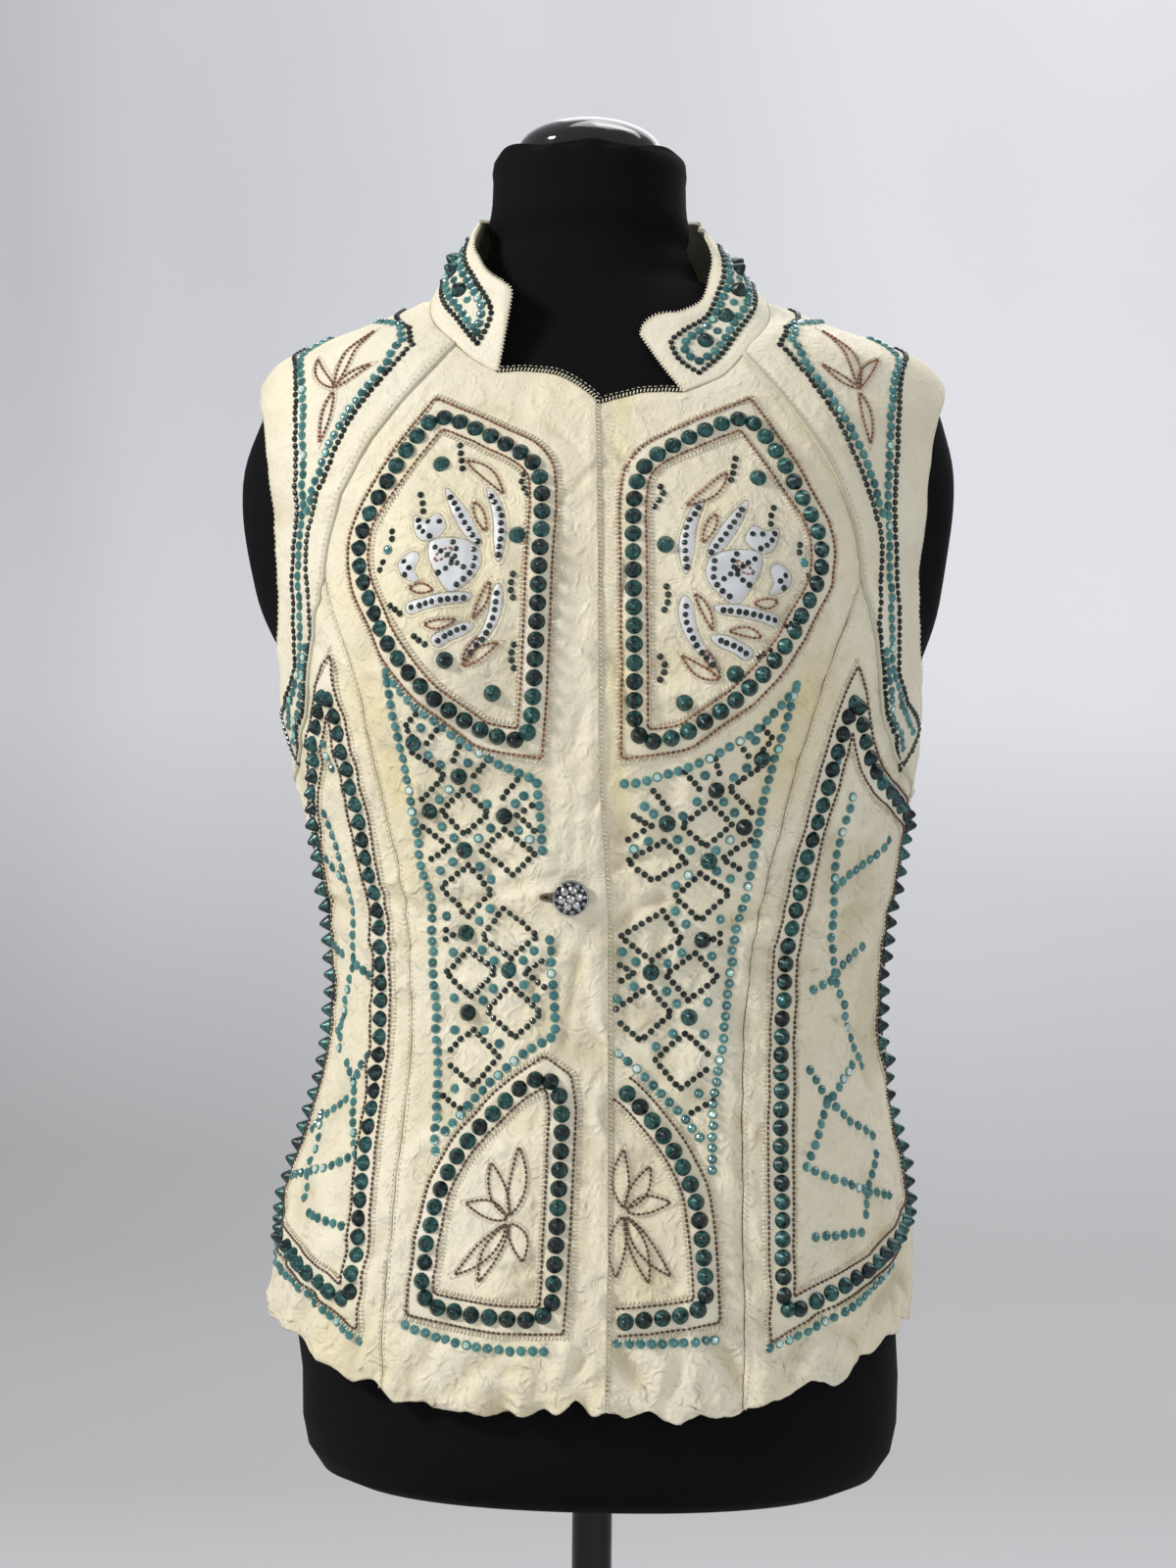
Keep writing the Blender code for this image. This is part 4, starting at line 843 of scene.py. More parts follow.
def glossy_material(name, low, high, rough, metal=0.0, coat=0.0, bump_scale=0.0):
    """A glossy material whose colour goes from low to high with each piece's tone."""
    look = Look(name)
    share = look.maths(look.fact("tone"), look.ramp(look.noise(500.0, 3.0), 0.3, 0.7, -0.18, 0.18))
    grain = look.bump(look.noise(bump_scale), 0.0004, 0.35) if bump_scale else None
    return look.surface(Base_Color=look.mix(share, low, high), Roughness=rough, Metallic=metal,
                        Coat_Weight=coat, Coat_Roughness=0.05, Normal=grain)


def thread_material(name, low, high):
    look = Look(name)
    fibre = look.noise(900.0)
    share = look.maths(look.ramp(fibre, 0.3, 0.7, -0.25, 0.25), look.fact("tone"))
    return look.surface(Base_Color=look.mix(share, low, high), Roughness=0.62, Sheen_Weight=0.25,
                        Sheen_Roughness=0.5, Normal=look.bump(fibre, 0.0003, 0.6))


def satin_material(name, colour, shade):
    look = Look(name)
    cloud = look.ramp(look.noise(60.0), 0.3, 0.7)
    bump = look.bump(look.noise(160.0, 5.0), 0.0006, 0.4)
    bump = look.bump(look.wave("DIAGONAL", 700.0, 1.5), 0.0001, 0.3, bump)
    return look.surface(Base_Color=look.mix(cloud, colour, shade), Roughness=0.38,
                        Sheen_Weight=0.4, Anisotropic=0.4, Normal=bump)


def jersey_material(name):
    look = Look(name)
    lint = look.ramp(look.noise(700.0, 3.0), 0.62, 0.80, 0.0, 0.6)
    bump = look.bump(look.noise(30.0), 0.0016, 0.3)
    bump = look.bump(look.wave("X", 330.0, 1.2, 2.0), 0.00022, 0.45, bump)
    return look.surface(Base_Color=look.mix(lint, (0.0022, 0.0022, 0.0028), (0.012, 0.012, 0.013)),
                        Roughness=0.88, Specular_IOR_Level=0.14, Normal=bump)


def plain_material(name, colour, rough, metal, grain, coat=0.0, dirt=0.15):
    look = Look(name)
    cloud = look.ramp(look.noise(grain, 5.0), 0.35, 0.7)
    share = look.maths(cloud, dirt, "MULTIPLY")
    return look.surface(
        Base_Color=look.mix(share, colour, tuple(c * 1.9 + 0.004 for c in colour)),
        Roughness=look.ramp(cloud, 0.0, 1.0, rough, rough + 0.10), Metallic=metal,
        Coat_Weight=coat, Normal=look.bump(look.noise(grain * 6, 3.0), 0.0002, 0.25))


CREAM, YELLOW, GREY = (0.86, 0.80, 0.64), (0.80, 0.68, 0.38), (0.70, 0.655, 0.53)
LOOKS = {
    "leather": leather_material("leather_crumpled", CREAM, YELLOW, GREY, 0.62),
    "leather_smooth": leather_material("leather_smooth", (0.87, 0.82, 0.68), YELLOW, GREY, 0.45),
    "cord": leather_material("leather_piping", (0.60, 0.59, 0.46), (0.52, 0.50, 0.34), GREY, 0.2),
    "stud": patina_material("stud_patina", (0.010, 0.014, 0.016), (0.022, 0.105, 0.100),
                            (0.085, 0.25, 0.225), 0.35, 0.30),
    "nail": glossy_material("nail_black_green", (0.010, 0.014, 0.012), (0.030, 0.050, 0.040), 0.34,
                            0.5, 0.2),
    "rim": glossy_material("rhinestone_rim", (0.050, 0.175, 0.162), (0.14, 0.34, 0.31), 0.32, 0.25,
                           0.3, 900.0),
    "stone": glossy_material("rhinestone_teal", (0.018, 0.105, 0.118), (0.075, 0.245, 0.245), 0.10,
                             0.0, 1.0),
    # A painted glint: near-white glossy stones that stand in for stones catching the light.
    "glint_painted": glossy_material("rhinestone_painted_glint", (0.30, 0.62, 0.56), (0.78, 0.86, 0.80), 0.06,
                             0.2, 1.0),
    "rust": thread_material("thread_rust", (0.12, 0.040, 0.016), (0.34, 0.135, 0.052)),
    "umber": thread_material("thread_umber", (0.050, 0.024, 0.010), (0.155, 0.078, 0.032)),
    "cream_thread": thread_material("thread_cream", (0.62, 0.55, 0.38), (0.88, 0.84, 0.70)),
    "grey_thread": thread_material("thread_grey", (0.18, 0.19, 0.20), (0.36, 0.37, 0.38)),
    "satin": satin_material("satin_pale", (0.70, 0.715, 0.73), (0.58, 0.595, 0.62)),
    "jersey": jersey_material("jersey_black"),
    "cap": plain_material("cap_gloss", (0.007, 0.007, 0.008), 0.06, 0.0, 60.0, 0.6),
    "metal": plain_material("stand_black", (0.012, 0.012, 0.013), 0.30, 0.7, 90.0, 0.1),
}


# Mesh helpers

def mesh_object(name, points, faces, looks, indices=None, smooth=True, facts=None):
    """One object of the given points and faces, which rides on the root body."""
    mesh = bpy.data.meshes.new(name)
    mesh.from_pydata(np.asarray(points).reshape(-1, 3).tolist(), [],
                     faces.tolist() if isinstance(faces, np.ndarray) else faces)
    for look in looks if isinstance(looks, (list, tuple)) else [looks]:
        mesh.materials.append(LOOKS[look])
    if indices is not None:
        mesh.polygons.foreach_set("material_index", np.asarray(indices, dtype=np.int32))
    if smooth:
        mesh.shade_smooth()
    for fact, values in (facts or {}).items():
        layer = mesh.attributes.new(fact, "FLOAT", "POINT")
        layer.data.foreach_set("value", np.asarray(values, dtype=np.float32).ravel())
    mesh.update()
    made = bpy.data.objects.new(name, mesh)
    bpy.context.scene.collection.objects.link(made)
    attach(made, "root")
    return made


def lathe(profile, sides):
    """Points and faces turned round Z: rows of radius and height, from the rim to the tip."""
    points, faces, start = [], [], []
    for radius, height in profile:
        start.append(len(points))
        if radius < 1e-7:
            points.append((0.0, 0.0, height))
            continue
        for k in range(sides):
            a = 2 * pi * k / sides
            points.append((radius * cos(a), radius * sin(a), height))
    for row in range(len(profile) - 1):
        a, b = start[row], start[row + 1]
        for k in range(sides):
            j = (k + 1) % sides
            if profile[row + 1][0] < 1e-7:
                faces.append((a + k, a + j, b))
            elif profile[row][0] < 1e-7:
                faces.append((a, b + j, b + k))
            else:
                faces.append((a + k, a + j, b + j, b + k))
    return np.array(points), faces


def scatter(name, template, places, looks, tones, sizes=None, indices=None, smooth=True,
            painted_light_tones=0.0):
    """Copies of a small shape at many places: each a point and its three unit ways."""
    points, faces = template
    spots, ways = places
    count = len(spots)
    sizes = np.ones(count) if sizes is None else np.asarray(sizes)
    moved_points = np.einsum("mij,nj->mni", ways, points) * sizes[:, None, None]
    moved_points = moved_points + spots[:, None]
    every = [tuple(start + i for i in face)
             for start in range(0, count * len(points), len(points)) for face in faces]
    chosen = None if indices is None else np.tile(np.asarray(indices), count)
    # The per-point offsets added to each copy's tone are a painted highlight and shade.
    facts = {"tone": np.asarray(tones)[:, None] + np.zeros(len(points)) + painted_light_tones}
    return mesh_object(name, moved_points, every, looks, chosen, smooth, facts)


def placed(points, side):
    """Turn and height on one side of the front, turned as it hangs."""
    points = np.array([(turn * side, height) for turn, height in points], dtype=float)
    points[:, 0] -= through(points[:, 1], TWISTS["height"], TWISTS["degrees"])
    return points


def dense_line(line, count):
    """A line with even points between its corners."""
    line = np.array(line, dtype=float)
    return np.concatenate([np.linspace(line[i], line[i + 1], count, endpoint=False)
                           for i in range(len(line) - 1)] + [line[-1:]])


def spread(line, pitch, point=cloth_point, closed=False):
    """Even places along a line, with the pitch rounded to fit."""
    dense = dense_line(line, 40)
    where = point(*dense.T)
    run = run_along(where)
    count = max(int(round(run[-1] / pitch)), 1)
    at = np.linspace(0, run[-1], count + 1)
    at = at[:-1] if closed else at
    return np.stack([np.interp(at, run, dense[:, 0]), np.interp(at, run, dense[:, 1])], axis=-1)


def ways_at(spots, ahead=None, point=cloth_point):
    """The three unit ways at places on a surface: ahead, to the left, and out."""
    turn, height = spots.T
    du = point(turn + 0.8, height) - point(turn - 0.8, height)
    dv = point(turn, height + 0.0015) - point(turn, height - 0.0015)
    out = unit(np.cross(du, dv))
    ahead = du if ahead is None else ahead
    ahead = unit(ahead - out * np.sum(ahead * out, axis=1, keepdims=True))
    return np.stack([ahead, np.cross(out, ahead), out], axis=-1)


def along_line(spots, point):
    """The way ahead at each of a row of places."""
    where = point(*spots.T)
    return np.gradient(where, axis=0) if len(spots) > 1 else None


def local_scale(turn, height):
    """Metres to a degree of turn, and metres along the surface to one of height."""
    wide = np.linalg.norm(cloth_point(turn + 0.5, height) - cloth_point(turn - 0.5, height),
                          axis=-1)
    tall = np.linalg.norm(cloth_point(turn, height + 0.001) - cloth_point(turn, height - 0.001),
                          axis=-1) / 0.002
    return np.stack([wide, tall], axis=-1)


def offset_line(path, distance, closed=True):
    """A line moved sideways by a distance, with its corners kept sharp."""
    path = np.array(path, dtype=float)
    metric = local_scale(*path.T)
    before = (path - np.roll(path, 1, axis=0)) * metric
    after = (np.roll(path, -1, axis=0) - path) * metric
    if not closed:
        before[0], after[-1] = after[0], before[-1]
    before, after = unit(before), unit(after)
    first = np.stack([-before[:, 1], before[:, 0]], axis=-1)
    second = np.stack([-after[:, 1], after[:, 0]], axis=-1)
    lean = np.maximum(1 + np.sum(first * second, axis=1, keepdims=True), 0.35)
    return path + (first + second) / lean * distance / metric


STITCHES = {}
TRIMS = {"nail": [], "stone": []}
rng = np.random.default_rng(7)


def capsule():
    """A short rounded stitch along X, half a unit thick and one long each way."""
    sides = 5
    rows = ((-1.0, 0.0, -0.35), (-0.62, 0.94, 0.30), (0.62, 0.94, 0.30), (1.0, 0.0, -0.35))
    points, faces = [], []
    for x, r, lift in rows:
        turns = [2 * pi * (k + 0.25) / sides for k in range(sides)] if r else [0.0]
        points += [(x, r * cos(a), lift + r * sin(a)) for a in turns]
    for k in range(sides):
        j = (k + 1) % sides
        faces += [(0, 1 + j, 1 + k), (1 + k, 1 + j, 1 + sides + j, 1 + sides + k),
                  (1 + sides + k, 1 + sides + j, 1 + 2 * sides)]
    return np.array(points, dtype=float), faces


def stitch(look, line, pitch, length, radius, surface, closed=False, slant=0.0, out=0.0,
           shown=None):
    """A row of stitches along a line of turn and height."""
    base = surface[1]
    spots = spread(np.array(line), pitch, base, closed)
    spots = spots[:-1] + np.diff(spots, axis=0) / 2 if not closed and len(spots) > 1 else spots
    if shown is not None:
        spots = spots[shown(*spots.T)]
    if len(spots) < 2:
        return
    ahead = along_line(spots, base)
    ways = ways_at(spots, ahead, base)
    if slant:
        a = radians(slant)
        ahead = ways[..., 0] * cos(a) + ways[..., 1] * sin(a)
        ways = np.stack([ahead, np.cross(ways[..., 2], ahead), ways[..., 2]], axis=-1)
    where = surface[0](*spots.T, out)
    size = np.array([length / 2, radius, radius])
    STITCHES.setdefault(look, []).append((where, ways * size))


def make_stitches():
    for look, rows in STITCHES.items():
        spots = np.concatenate([r[0] for r in rows])
        ways = np.concatenate([r[1] for r in rows])
        tones = 0.5 + 0.35 * rng.standard_normal(len(spots)).clip(-1.4, 1.4)
        scatter("stitches_" + look, capsule(), (spots, ways), look, tones=tones)


def trim(kind, spots, surface, size=1.0):
    """Nails or stones at places on a surface."""
    spots = np.array(spots, dtype=float).reshape(-1, 2)
    if not len(spots):
        return
    ways = ways_at(spots, None, surface[1])
    TRIMS[kind].append((surface[0](*spots.T, 0.0), ways,
                        np.full(len(spots), size)))


def right_skin(turn, height, out=0.0):
    return skin(turn, height, out, right_overlap)


def right_base(turn, height):
    return cloth_point(turn, height, right_overlap(turn, height))


# What things stand on, crumpled and plain, at each side: 1 for the left, at +X, and -1
ON = {-1: (right_skin, right_base), 1: (skin, cloth_point)}
ON_COLLAR = (collar_point, collar_point)
PLACKET = table(sorted((h, t) for t, h in PLACKET_EDGE), ("height", "turn"))


def uncovered(side, margin):
    """Which places aren't under the right front, by a margin in degrees."""
    def shown(turn, height):
        edge = through(height, PLACKET["height"], PLACKET["turn"])
        return turn < edge - margin if side < 0 else turn > edge + margin
    return shown


# The leather panels

def stain_at(turn, height):
    """Where the leather has yellowed: along the front seams, at the hem and inside the frames."""
    rise = 0.20 + 0.35 * bell(height - 0.275, 0.035)
    for side in (-1, 1):
        seam = np.array(worn([(t * side, h) for t, h in PRINCESS_SEAM]))[::-1]
        near = away(turn, np.interp(height, seam[:, 1], seam[:, 0]))
        rise = rise + 0.75 * bell(near + 3.0 * side, 5.5) * bell(height - 0.615, 0.075)
        rise = rise + 0.40 * bell(away(turn, side * 14.0), 6.0) * bell(height - 0.345, 0.07)
        rise = rise + 0.30 * bell(away(turn, side * 32.0), 10.0) * bell(height - 0.695, 0.05)
    rise = rise + 0.60 * bell(away(turn, 9.5), 3.2) * smooth_step(height, 0.42, 0.60)
    return np.clip(rise, 0, 1)


def anticlockwise(spots, faces):
    """Triangles of plan points, all turned the same way."""
    a, b, c = (spots[faces[:, k]] for k in range(3))
    area = (b[:, 0] - a[:, 0]) * (c[:, 1] - a[:, 1]) - (b[:, 1] - a[:, 1]) * (c[:, 0] - a[:, 0])
    return np.where(area[:, None] > 0, faces, faces[:, ::-1])[np.abs(area) > 1e-12]


def triangulated(loops, points):
    """Triangles over closed loops and the points between them, over their holes too."""
    edges, start = [], 0
    for ring in loops:
        edges += [(start + i, start + (i + 1) % len(ring)) for i in range(len(ring))]
        start += len(ring)
    spots = [Vector(p) for p in np.concatenate(loops + [points])]
    spots, _, faces, _, _, _ = delaunay_2d_cdt(spots, edges, [], 1, 1e-9)
    return np.array([tuple(p) for p in spots]), np.array(faces)


EDGE_RINGS, RINGS_REACH = (0.0012, 0.0027, 0.0046), 0.0056


def fine_fill(loop, step, holes=()):
    """Triangles over a loop, with closer points along its edge and round its holes."""
    points = [grid(loop, step)]
    for gap in EDGE_RINGS:
        ring = inset(loop, gap)
        points.append(ring[inside(ring, loop) & (room_in(ring, loop) > gap * 0.85)])
    points[0] = points[0][room_in(points[0], loop) > RINGS_REACH]
    points = np.concatenate(points)
    for hole in holes:
        points = points[room_in(points, hole) > 0.0010]
        points = points[~inside(points, hole)]
    spots, faces = triangulated([loop] + list(holes), points)
    for hole in holes:
        faces = faces[~inside(spots[faces].mean(axis=1), hole)]
    return spots, anticlockwise(spots, faces)


def edge_roll(room):
    """How an edge turns in, and the stitched channel beside it."""
    return (-0.0007 * bell(room, 0.0011) + 0.00045 * bell(room - 0.0056, 0.0026)
            - 0.00035 * bell(room - 0.0027, 0.0008))


def area_of(points, faces):
    a, b, c = (points[faces[:, k]] for k in range(3))
    return 0.5 * np.linalg.norm(np.cross(b - a, c - a), axis=1).sum()


def leather_piece(name, points, faces, look, facts):
    """A leather piece with its wall, in place of its node."""
    made = mesh_object("leather_" + name, points, faces, look, facts=facts)
    wall = made.modifiers.new("Wall", "SOLIDIFY")
    wall.thickness, wall.offset = WALL, -1.0
    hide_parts(name)


def leather_panel(name, runs, side, look="leather", lift=no_overlap, step=FRONT_STEP, holes=()):
    loop = loop_of(*runs)
    if side < 0:
        loop = loop[::-1]
    plan = inset(flat(*loop.T), SEAM_GAP / 2)
    spots, faces = fine_fill(plan, step * (1.0), holes)
    turn, height = unflat(spots)
    room = room_in(spots, plan)
    rise = crinkle(turn, height)
    above = np.maximum(height - hem_height(turn), 0)
    torn = 0.0016 * soft_noise(turn, 0.1, 0.0085, 31) + 0.0009 * soft_noise(turn, 0.1, 0.0042, 37)
    height = height + torn * bell(above, 0.005)
    points = cloth_point(turn, height, lift(turn, height) + rise + edge_roll(room))
    # Painted shade: darker where the crumpled leather sinks below its plain form, and a little
    # along the rolled cut edge.
    deep = np.clip(-rise / 0.0050, 0, 0.5) + 0.05 * bell(room, 0.0012)
    facts = {"stain": stain_at(turn, height), "deep": np.clip(deep, 0, 1),
             "crumple": 0.55 + 0.65 * crumple(height)}
    leather_piece(name, points, faces, look, facts)
    area = area_of(cloth_point(turn, height), faces)
    width = 0.0
    for level in np.linspace(spots[:, 1].min(), spots[:, 1].max(), 24)[1:-1]:
        near = np.abs(spots[:, 1] - level) < 0.006
        across = np.linspace(turn[near].min(), turn[near].max(), 40)
        row = cloth_point(across, np.full(40, height[near].mean()))
        width = max(width, np.linalg.norm(np.diff(row, axis=0), axis=1).sum())


def slit_loop():
    """The buttonhole, as a loop of plan points."""
    start, end = BUTTONHOLE["from"], BUTTONHOLE["to"]
    middle, half = (start + end) / 2, (end - start) / 2
    ring = np.array([(middle + half * cos(a), BUTTON["height"] + BUTTONHOLE["half"] * sin(a))
                     for a in np.linspace(0, 2 * pi, 22, endpoint=False)])
    return flat(*ring.T)


left, right = seams(1), seams(-1)
left_back, right_back = back_seams(1), back_seams(-1)
whole_turn = np.array([360.0, 0.0])

left_collar = collar_run(PIPED_TOP_TURN, COLLAR[0][0])
left_neck = seam_line([tuple(left_collar[-1]), *reverse(LEFT_NECKLINE)], NECK_STEP)
under_foot = (-OVERLAP_UNDER, float(hem_height(-OVERLAP_UNDER)))
leather_panel("left_front", [
    hem_run(under_foot[0], left["princess"][-1][0]),
    reverse(left["princess"]), reverse(left["piped_upper"]), left_collar, left_neck,
    seam_line([LEFT_NECKLINE[0], under_foot])], 1)
right_collar = collar_run(-PIPED_TOP_TURN, COLLAR[-1][0] - 360)
right_neck = seam_line([tuple(right_collar[-1]), *reverse(RIGHT_NECKLINE)], NECK_STEP)
placket = seam_line(down_to_hem(PLACKET_EDGE))
leather_panel("right_front", [
    hem_run(placket[-1][0], right["princess"][-1][0]),
    reverse(right["princess"]), reverse(right["piped_upper"]), right_collar, right_neck,
    placket], -1, lift=right_overlap, holes=(slit_loop(),))
SIDES = ((1, "left", left, left_back), (-1, "right", right, right_back))
for side, word, seam, back in SIDES:
    leather_panel(word + "_side_front", [
        hem_run(seam["princess"][-1][0], 90.0 * side),
        seam["side_lower"], reverse(seam["piped_lower"]), seam["princess"]], side)
    leather_panel(word + "_side_back", [
        hem_run(90.0 * side, back["princess"][-1][0]),
        reverse(back["princess"]), back["piped_lower"], reverse(seam["side_lower"])], side,
        step=BACK_STEP)
    leather_panel(word + "_shoulder_front", [
        seam["side_upper"], seam["armhole"], seam["shoulder"],
        collar_run(90.0 * side, PIPED_TOP_TURN * side),
        seam["piped_upper"], seam["piped_lower"]], side, "leather_smooth")
    leather_panel(word + "_shoulder_back", [
        reverse(back["piped_lower"]), reverse(back["piped_upper"]),
        collar_run(BACK_SEAM_TURN * side, 90.0 * side),
        reverse(seam["shoulder"]), seam["arm_back"], reverse(seam["side_upper"])], side,
        "leather_smooth", step=BACK_STEP)
back_edge = left_back["princess"][-1][0]
leather_panel("back", [
    hem_run(back_edge, 360 - back_edge),
    reverse(right_back["princess"]) + whole_turn, reverse(right_back["piped_upper"]) + whole_turn,
    collar_run(360 - BACK_SEAM_TURN, BACK_SEAM_TURN),
    left_back["piped_upper"], left_back["princess"]], 1, step=BACK_STEP)


# The collar

def level_line(start, end, up):
    """A line round the collar at one distance up its slope."""
    return np.stack([np.linspace(start, end, 300), np.full(300, up)], axis=-1)


def collar_panel():
    near, near_tip = collar_end(1, COLLAR_CORNERS["left"], COLLAR_SLANTS["left"])
    far, far_tip = collar_end(-1, COLLAR_CORNERS["right"], COLLAR_SLANTS["right"])

    def along(line):
        return spaced(line, NECK_STEP, collar_point)

    base = along(level_line(near[0][0], far[0][0], -0.0013))
    top = along(level_line(far_tip[-1][0], near_tip[-1][0], COLLAR_HEIGHT))
    loop = loop_of(base, along(far), along(far_tip), top, along(reverse(near_tip)),
                   along(reverse(near)))
    scale = np.array([COLLAR_RADIUS * pi / 180, 1.0])
    spots, faces = fine_fill(loop * scale, 0.0032)
    room = room_in(spots, loop * scale)
    turn, up = (spots / scale).T
    rise = 0.12 * crinkle(turn, up + 0.4) + 0.4 * edge_roll(room)
    points = collar_point(turn, up, rise)
    # Painted shade: the deep attribute darkens the collar along its rolled edges.
    facts = {"stain": np.full(len(turn), 0.22), "deep": 0.30 * bell(room, 0.0013),
             "crumple": np.full(len(turn), 0.30)}
    leather_piece("collar", points, faces, "leather_smooth", facts)
    return near, near_tip, far, far_tip


ends = collar_panel()


# Piping in the seams round the armholes

def grid_faces(rows, across, closed=True):
    """Faces between the rows of a grid of points."""
    return [(r * across + k, r * across + (k + 1) % across, (r + 1) * across + (k + 1) % across,
             (r + 1) * across + k)
            for r in range(rows - 1) for k in range(across if closed else across - 1)]


def piping(name, line, radius=0.00125, sides=8):
    """A cord along a line of turn and height."""
    spots = spread(np.array(line), 0.003)
    ways = ways_at(spots, along_line(spots, cloth_point))
    a = 2 * pi * np.arange(sides) / sides
    ring = ways[..., 1][:, None] * np.cos(a)[None, :, None] * radius
    ring = ring + ways[..., 2][:, None] * np.sin(a)[None, :, None] * radius
    points = skin(*spots.T)[:, None] + ring
    count = len(spots) * sides
    faces = grid_faces(len(spots), sides)
    faces += [tuple(range(sides))[::-1], tuple(range(count - sides, count))]
    facts = {"stain": np.full(count, 0.5), "deep": np.zeros(count), "crumple": np.full(count, 0.2)}
    mesh_object(name, points, faces, "cord", facts=facts)


for side, word, seam, back in SIDES:
    for place, cut in (("front", seam), ("back", back)):
        line = list(reverse(cut["piped_lower"])) + list(reverse(cut["piped_upper"]))[1:]
        piping(word + "_piping_" + place, line)


FINE = (0.0030, 0.0019, 0.00022)


def sewn(line, gap, size=FINE, surface=ON[1], closed=False, **how):
    """Cream stitches beside a line: their pitch, length and radius."""
    stitch("cream_thread", offset_line(line, gap, closed=closed), *size, surface, **how)


def sewn_edges():
    """The fine stitches along the seams and the edges of the cut."""
    for side, _, seam, back in SIDES:
        for cut, gap in ((seam, 0.0030), (back, -0.0030)):
            for line in (cut["piped_upper"], cut["piped_lower"]):
                sewn(line, gap * side, (0.0031, 0.0019, 0.00024), out=0.0002)
        for line in (seam["princess"], back["princess"]):
            for gap in (-0.0016, 0.0016):
                sewn(line, gap, (0.0028, 0.0018, 0.00022))
        rim = np.concatenate([seam["armhole"], seam["arm_back"][1:-1]])
        sewn(rim, 0.0024 * side, closed=True, out=0.0002)
        stitch("cream_thread", seam["shoulder"], 0.0022, 0.0030, 0.00024, ON[1], slant=75)
    for line, surface, way in ((right_neck, ON[-1], 1), (left_neck, ON[1], -1)):
        shown = uncovered(1, -0.4) if surface is ON[1] else None
        sewn(line, 0.0008 * way, (0.0019, 0.0025, 0.00040), surface, slant=70, shown=shown)
        sewn(line, 0.0030 * way, FINE, surface, shown=shown)
    sewn(placket, 0.0009, (0.0023, 0.0026, 0.00030), ON[-1], slant=62)
    sewn(placket, 0.0032, FINE, ON[-1])


sewn_edges()


# Studded bands

def band_path(path, closed):
    """A band's middle line with gentle bends rounded and sharp corners kept."""
    points = np.array(list(path) + ([path[0]] if closed else []), dtype=float)
    where = cloth_point(*points.T)
    steps = unit(np.diff(where, axis=0))
    corners = [0]
    for i in range(1, len(points) - 1):
        if steps[i - 1] @ steps[i] < cos(radians(33)):
            corners.append(i)
    corners.append(len(points) - 1)
    if closed and steps[-1] @ steps[0] >= cos(radians(33)):
        whole = smooth_line([tuple(p) for p in points])
        if len(corners) > 2:
            first = corners[1]
            points = np.concatenate([points[first:-1], points[:first + 1]])
            return band_path(points[:-1], True)
        return whole
    runs = [smooth_line([tuple(p) for p in points[a:b + 1]], 12)
            for a, b in zip(corners, corners[1:])]
    return np.concatenate([spaced(run, 0.0032)[:-1] for run in runs] + [runs[-1][-1:]])


def cleared(line, path, distance):
    """Leaves out the points of an offset line that come too near to the path."""
    where = cloth_point(*line.T)
    way = cloth_point(*path.T)
    dense = np.concatenate([way[:-1] * (1 - t) + way[1:] * t for t in (0, 0.25, 0.5, 0.75)])
    return line[nearest(where, dense) > abs(distance) * 0.955]


def band_edge(path, distance, closed):
    ring = path[:-1] if closed else path
    return cleared(offset_line(ring, distance, closed), path, distance)


# Half a band's width, and where its stitched lines lie, as a share of that
BAND_EDGE, STITCHED_AT = 0.0089, 0.775
BAND_RINGS = (0.0083, 0.0074, 0.0060, 0.0035)
BAND_RISE = 0.0009


def stud_frame(name, points, closed, side, look, shown):
    """A leather band with overcast edges, two stitched lines and a row of cone studs."""
    surface = ON[side]
    path = band_path(points, closed)
    outer, inner = (band_edge(path, way * BAND_EDGE, closed) for way in (1, -1))
    if closed:
        loops = [flat(*ring.T) for ring in (outer, inner)]
        areas = [abs(turning(loop)) for loop in loops]
        big, small = (loops if areas[0] > areas[1] else loops[::-1])
    else:
        ring = np.concatenate([outer, inner[::-1]])
        big, small = flat(*ring.T), None
    big = big if turning(big) > 0 else big[::-1]
    fill_points = [band_edge(path, way * d, closed)
                   for way in (1, -1) for d in BAND_RINGS] + [path]
    fill_points = np.concatenate(fill_points)
    fill_points = flat(*fill_points.T)
    keep = inside(fill_points, big) & (room_in(fill_points, big) > 0.0002)
    if small is not None:
        keep &= ~inside(fill_points, small) & (room_in(fill_points, small) > 0.0002)
    loops = [big] + ([small] if small is not None else [])
    spots, faces = triangulated(loops, fill_points[keep])
    middles = spots[faces].mean(axis=1)
    kept = inside(middles, big)
    if small is not None:
        kept &= ~inside(middles, small)
    good = anticlockwise(spots, faces[kept])
    turn, height = unflat(spots)
    where = cloth_point(turn, height)
    way = cloth_point(*path.T)
    dense = np.concatenate([way[:-1] * (1 - t) + way[1:] * t for t in (0, 0.2, 0.4, 0.6, 0.8)])
    across = nearest(where, dense) / BAND_EDGE
    rise = (BAND_RISE * (1 - np.clip(across, 0, 1.02) ** 7 * 1.25)
            - 0.0004 * bell(across - STITCHED_AT, 0.05))
    # Painted shade: deep darkens the band along its overcast edges and in the sunk channels of its
    # stitched lines.
    facts = {"stain": 0.20 + 0.5 * stain_at(turn, height), "crumple": np.full(len(turn), 0.35),
             "deep": 0.85 * bell(across - 1.0, 0.05) + 0.30 * bell(across - STITCHED_AT, 0.04)}
    mesh_object(name + "_band", surface[0](turn, height, rise), good, "leather_smooth",
                facts=facts)
    for thread, distance, size, slant, out in (
            (look, 0.0069, (0.0027, 0.0025, 0.00074), 0, BAND_RISE + 0.0001),
            ("cream_thread", BAND_EDGE + 0.0001, (0.0021, 0.0027, 0.00062), 70, 0.0003)):
        for way in (1, -1):
            line = band_edge(path, way * distance, closed)
            stitch(thread, looped(line) if closed else line, *size, surface, slant=slant, out=out,
                   shown=shown)
    studs = spaced(rounded(dense_line(list(points) + ([points[0]] if closed else []), 30), closed),
                   STUD_PITCH)
    return (studs[:-1] + studs[1:]) / 2


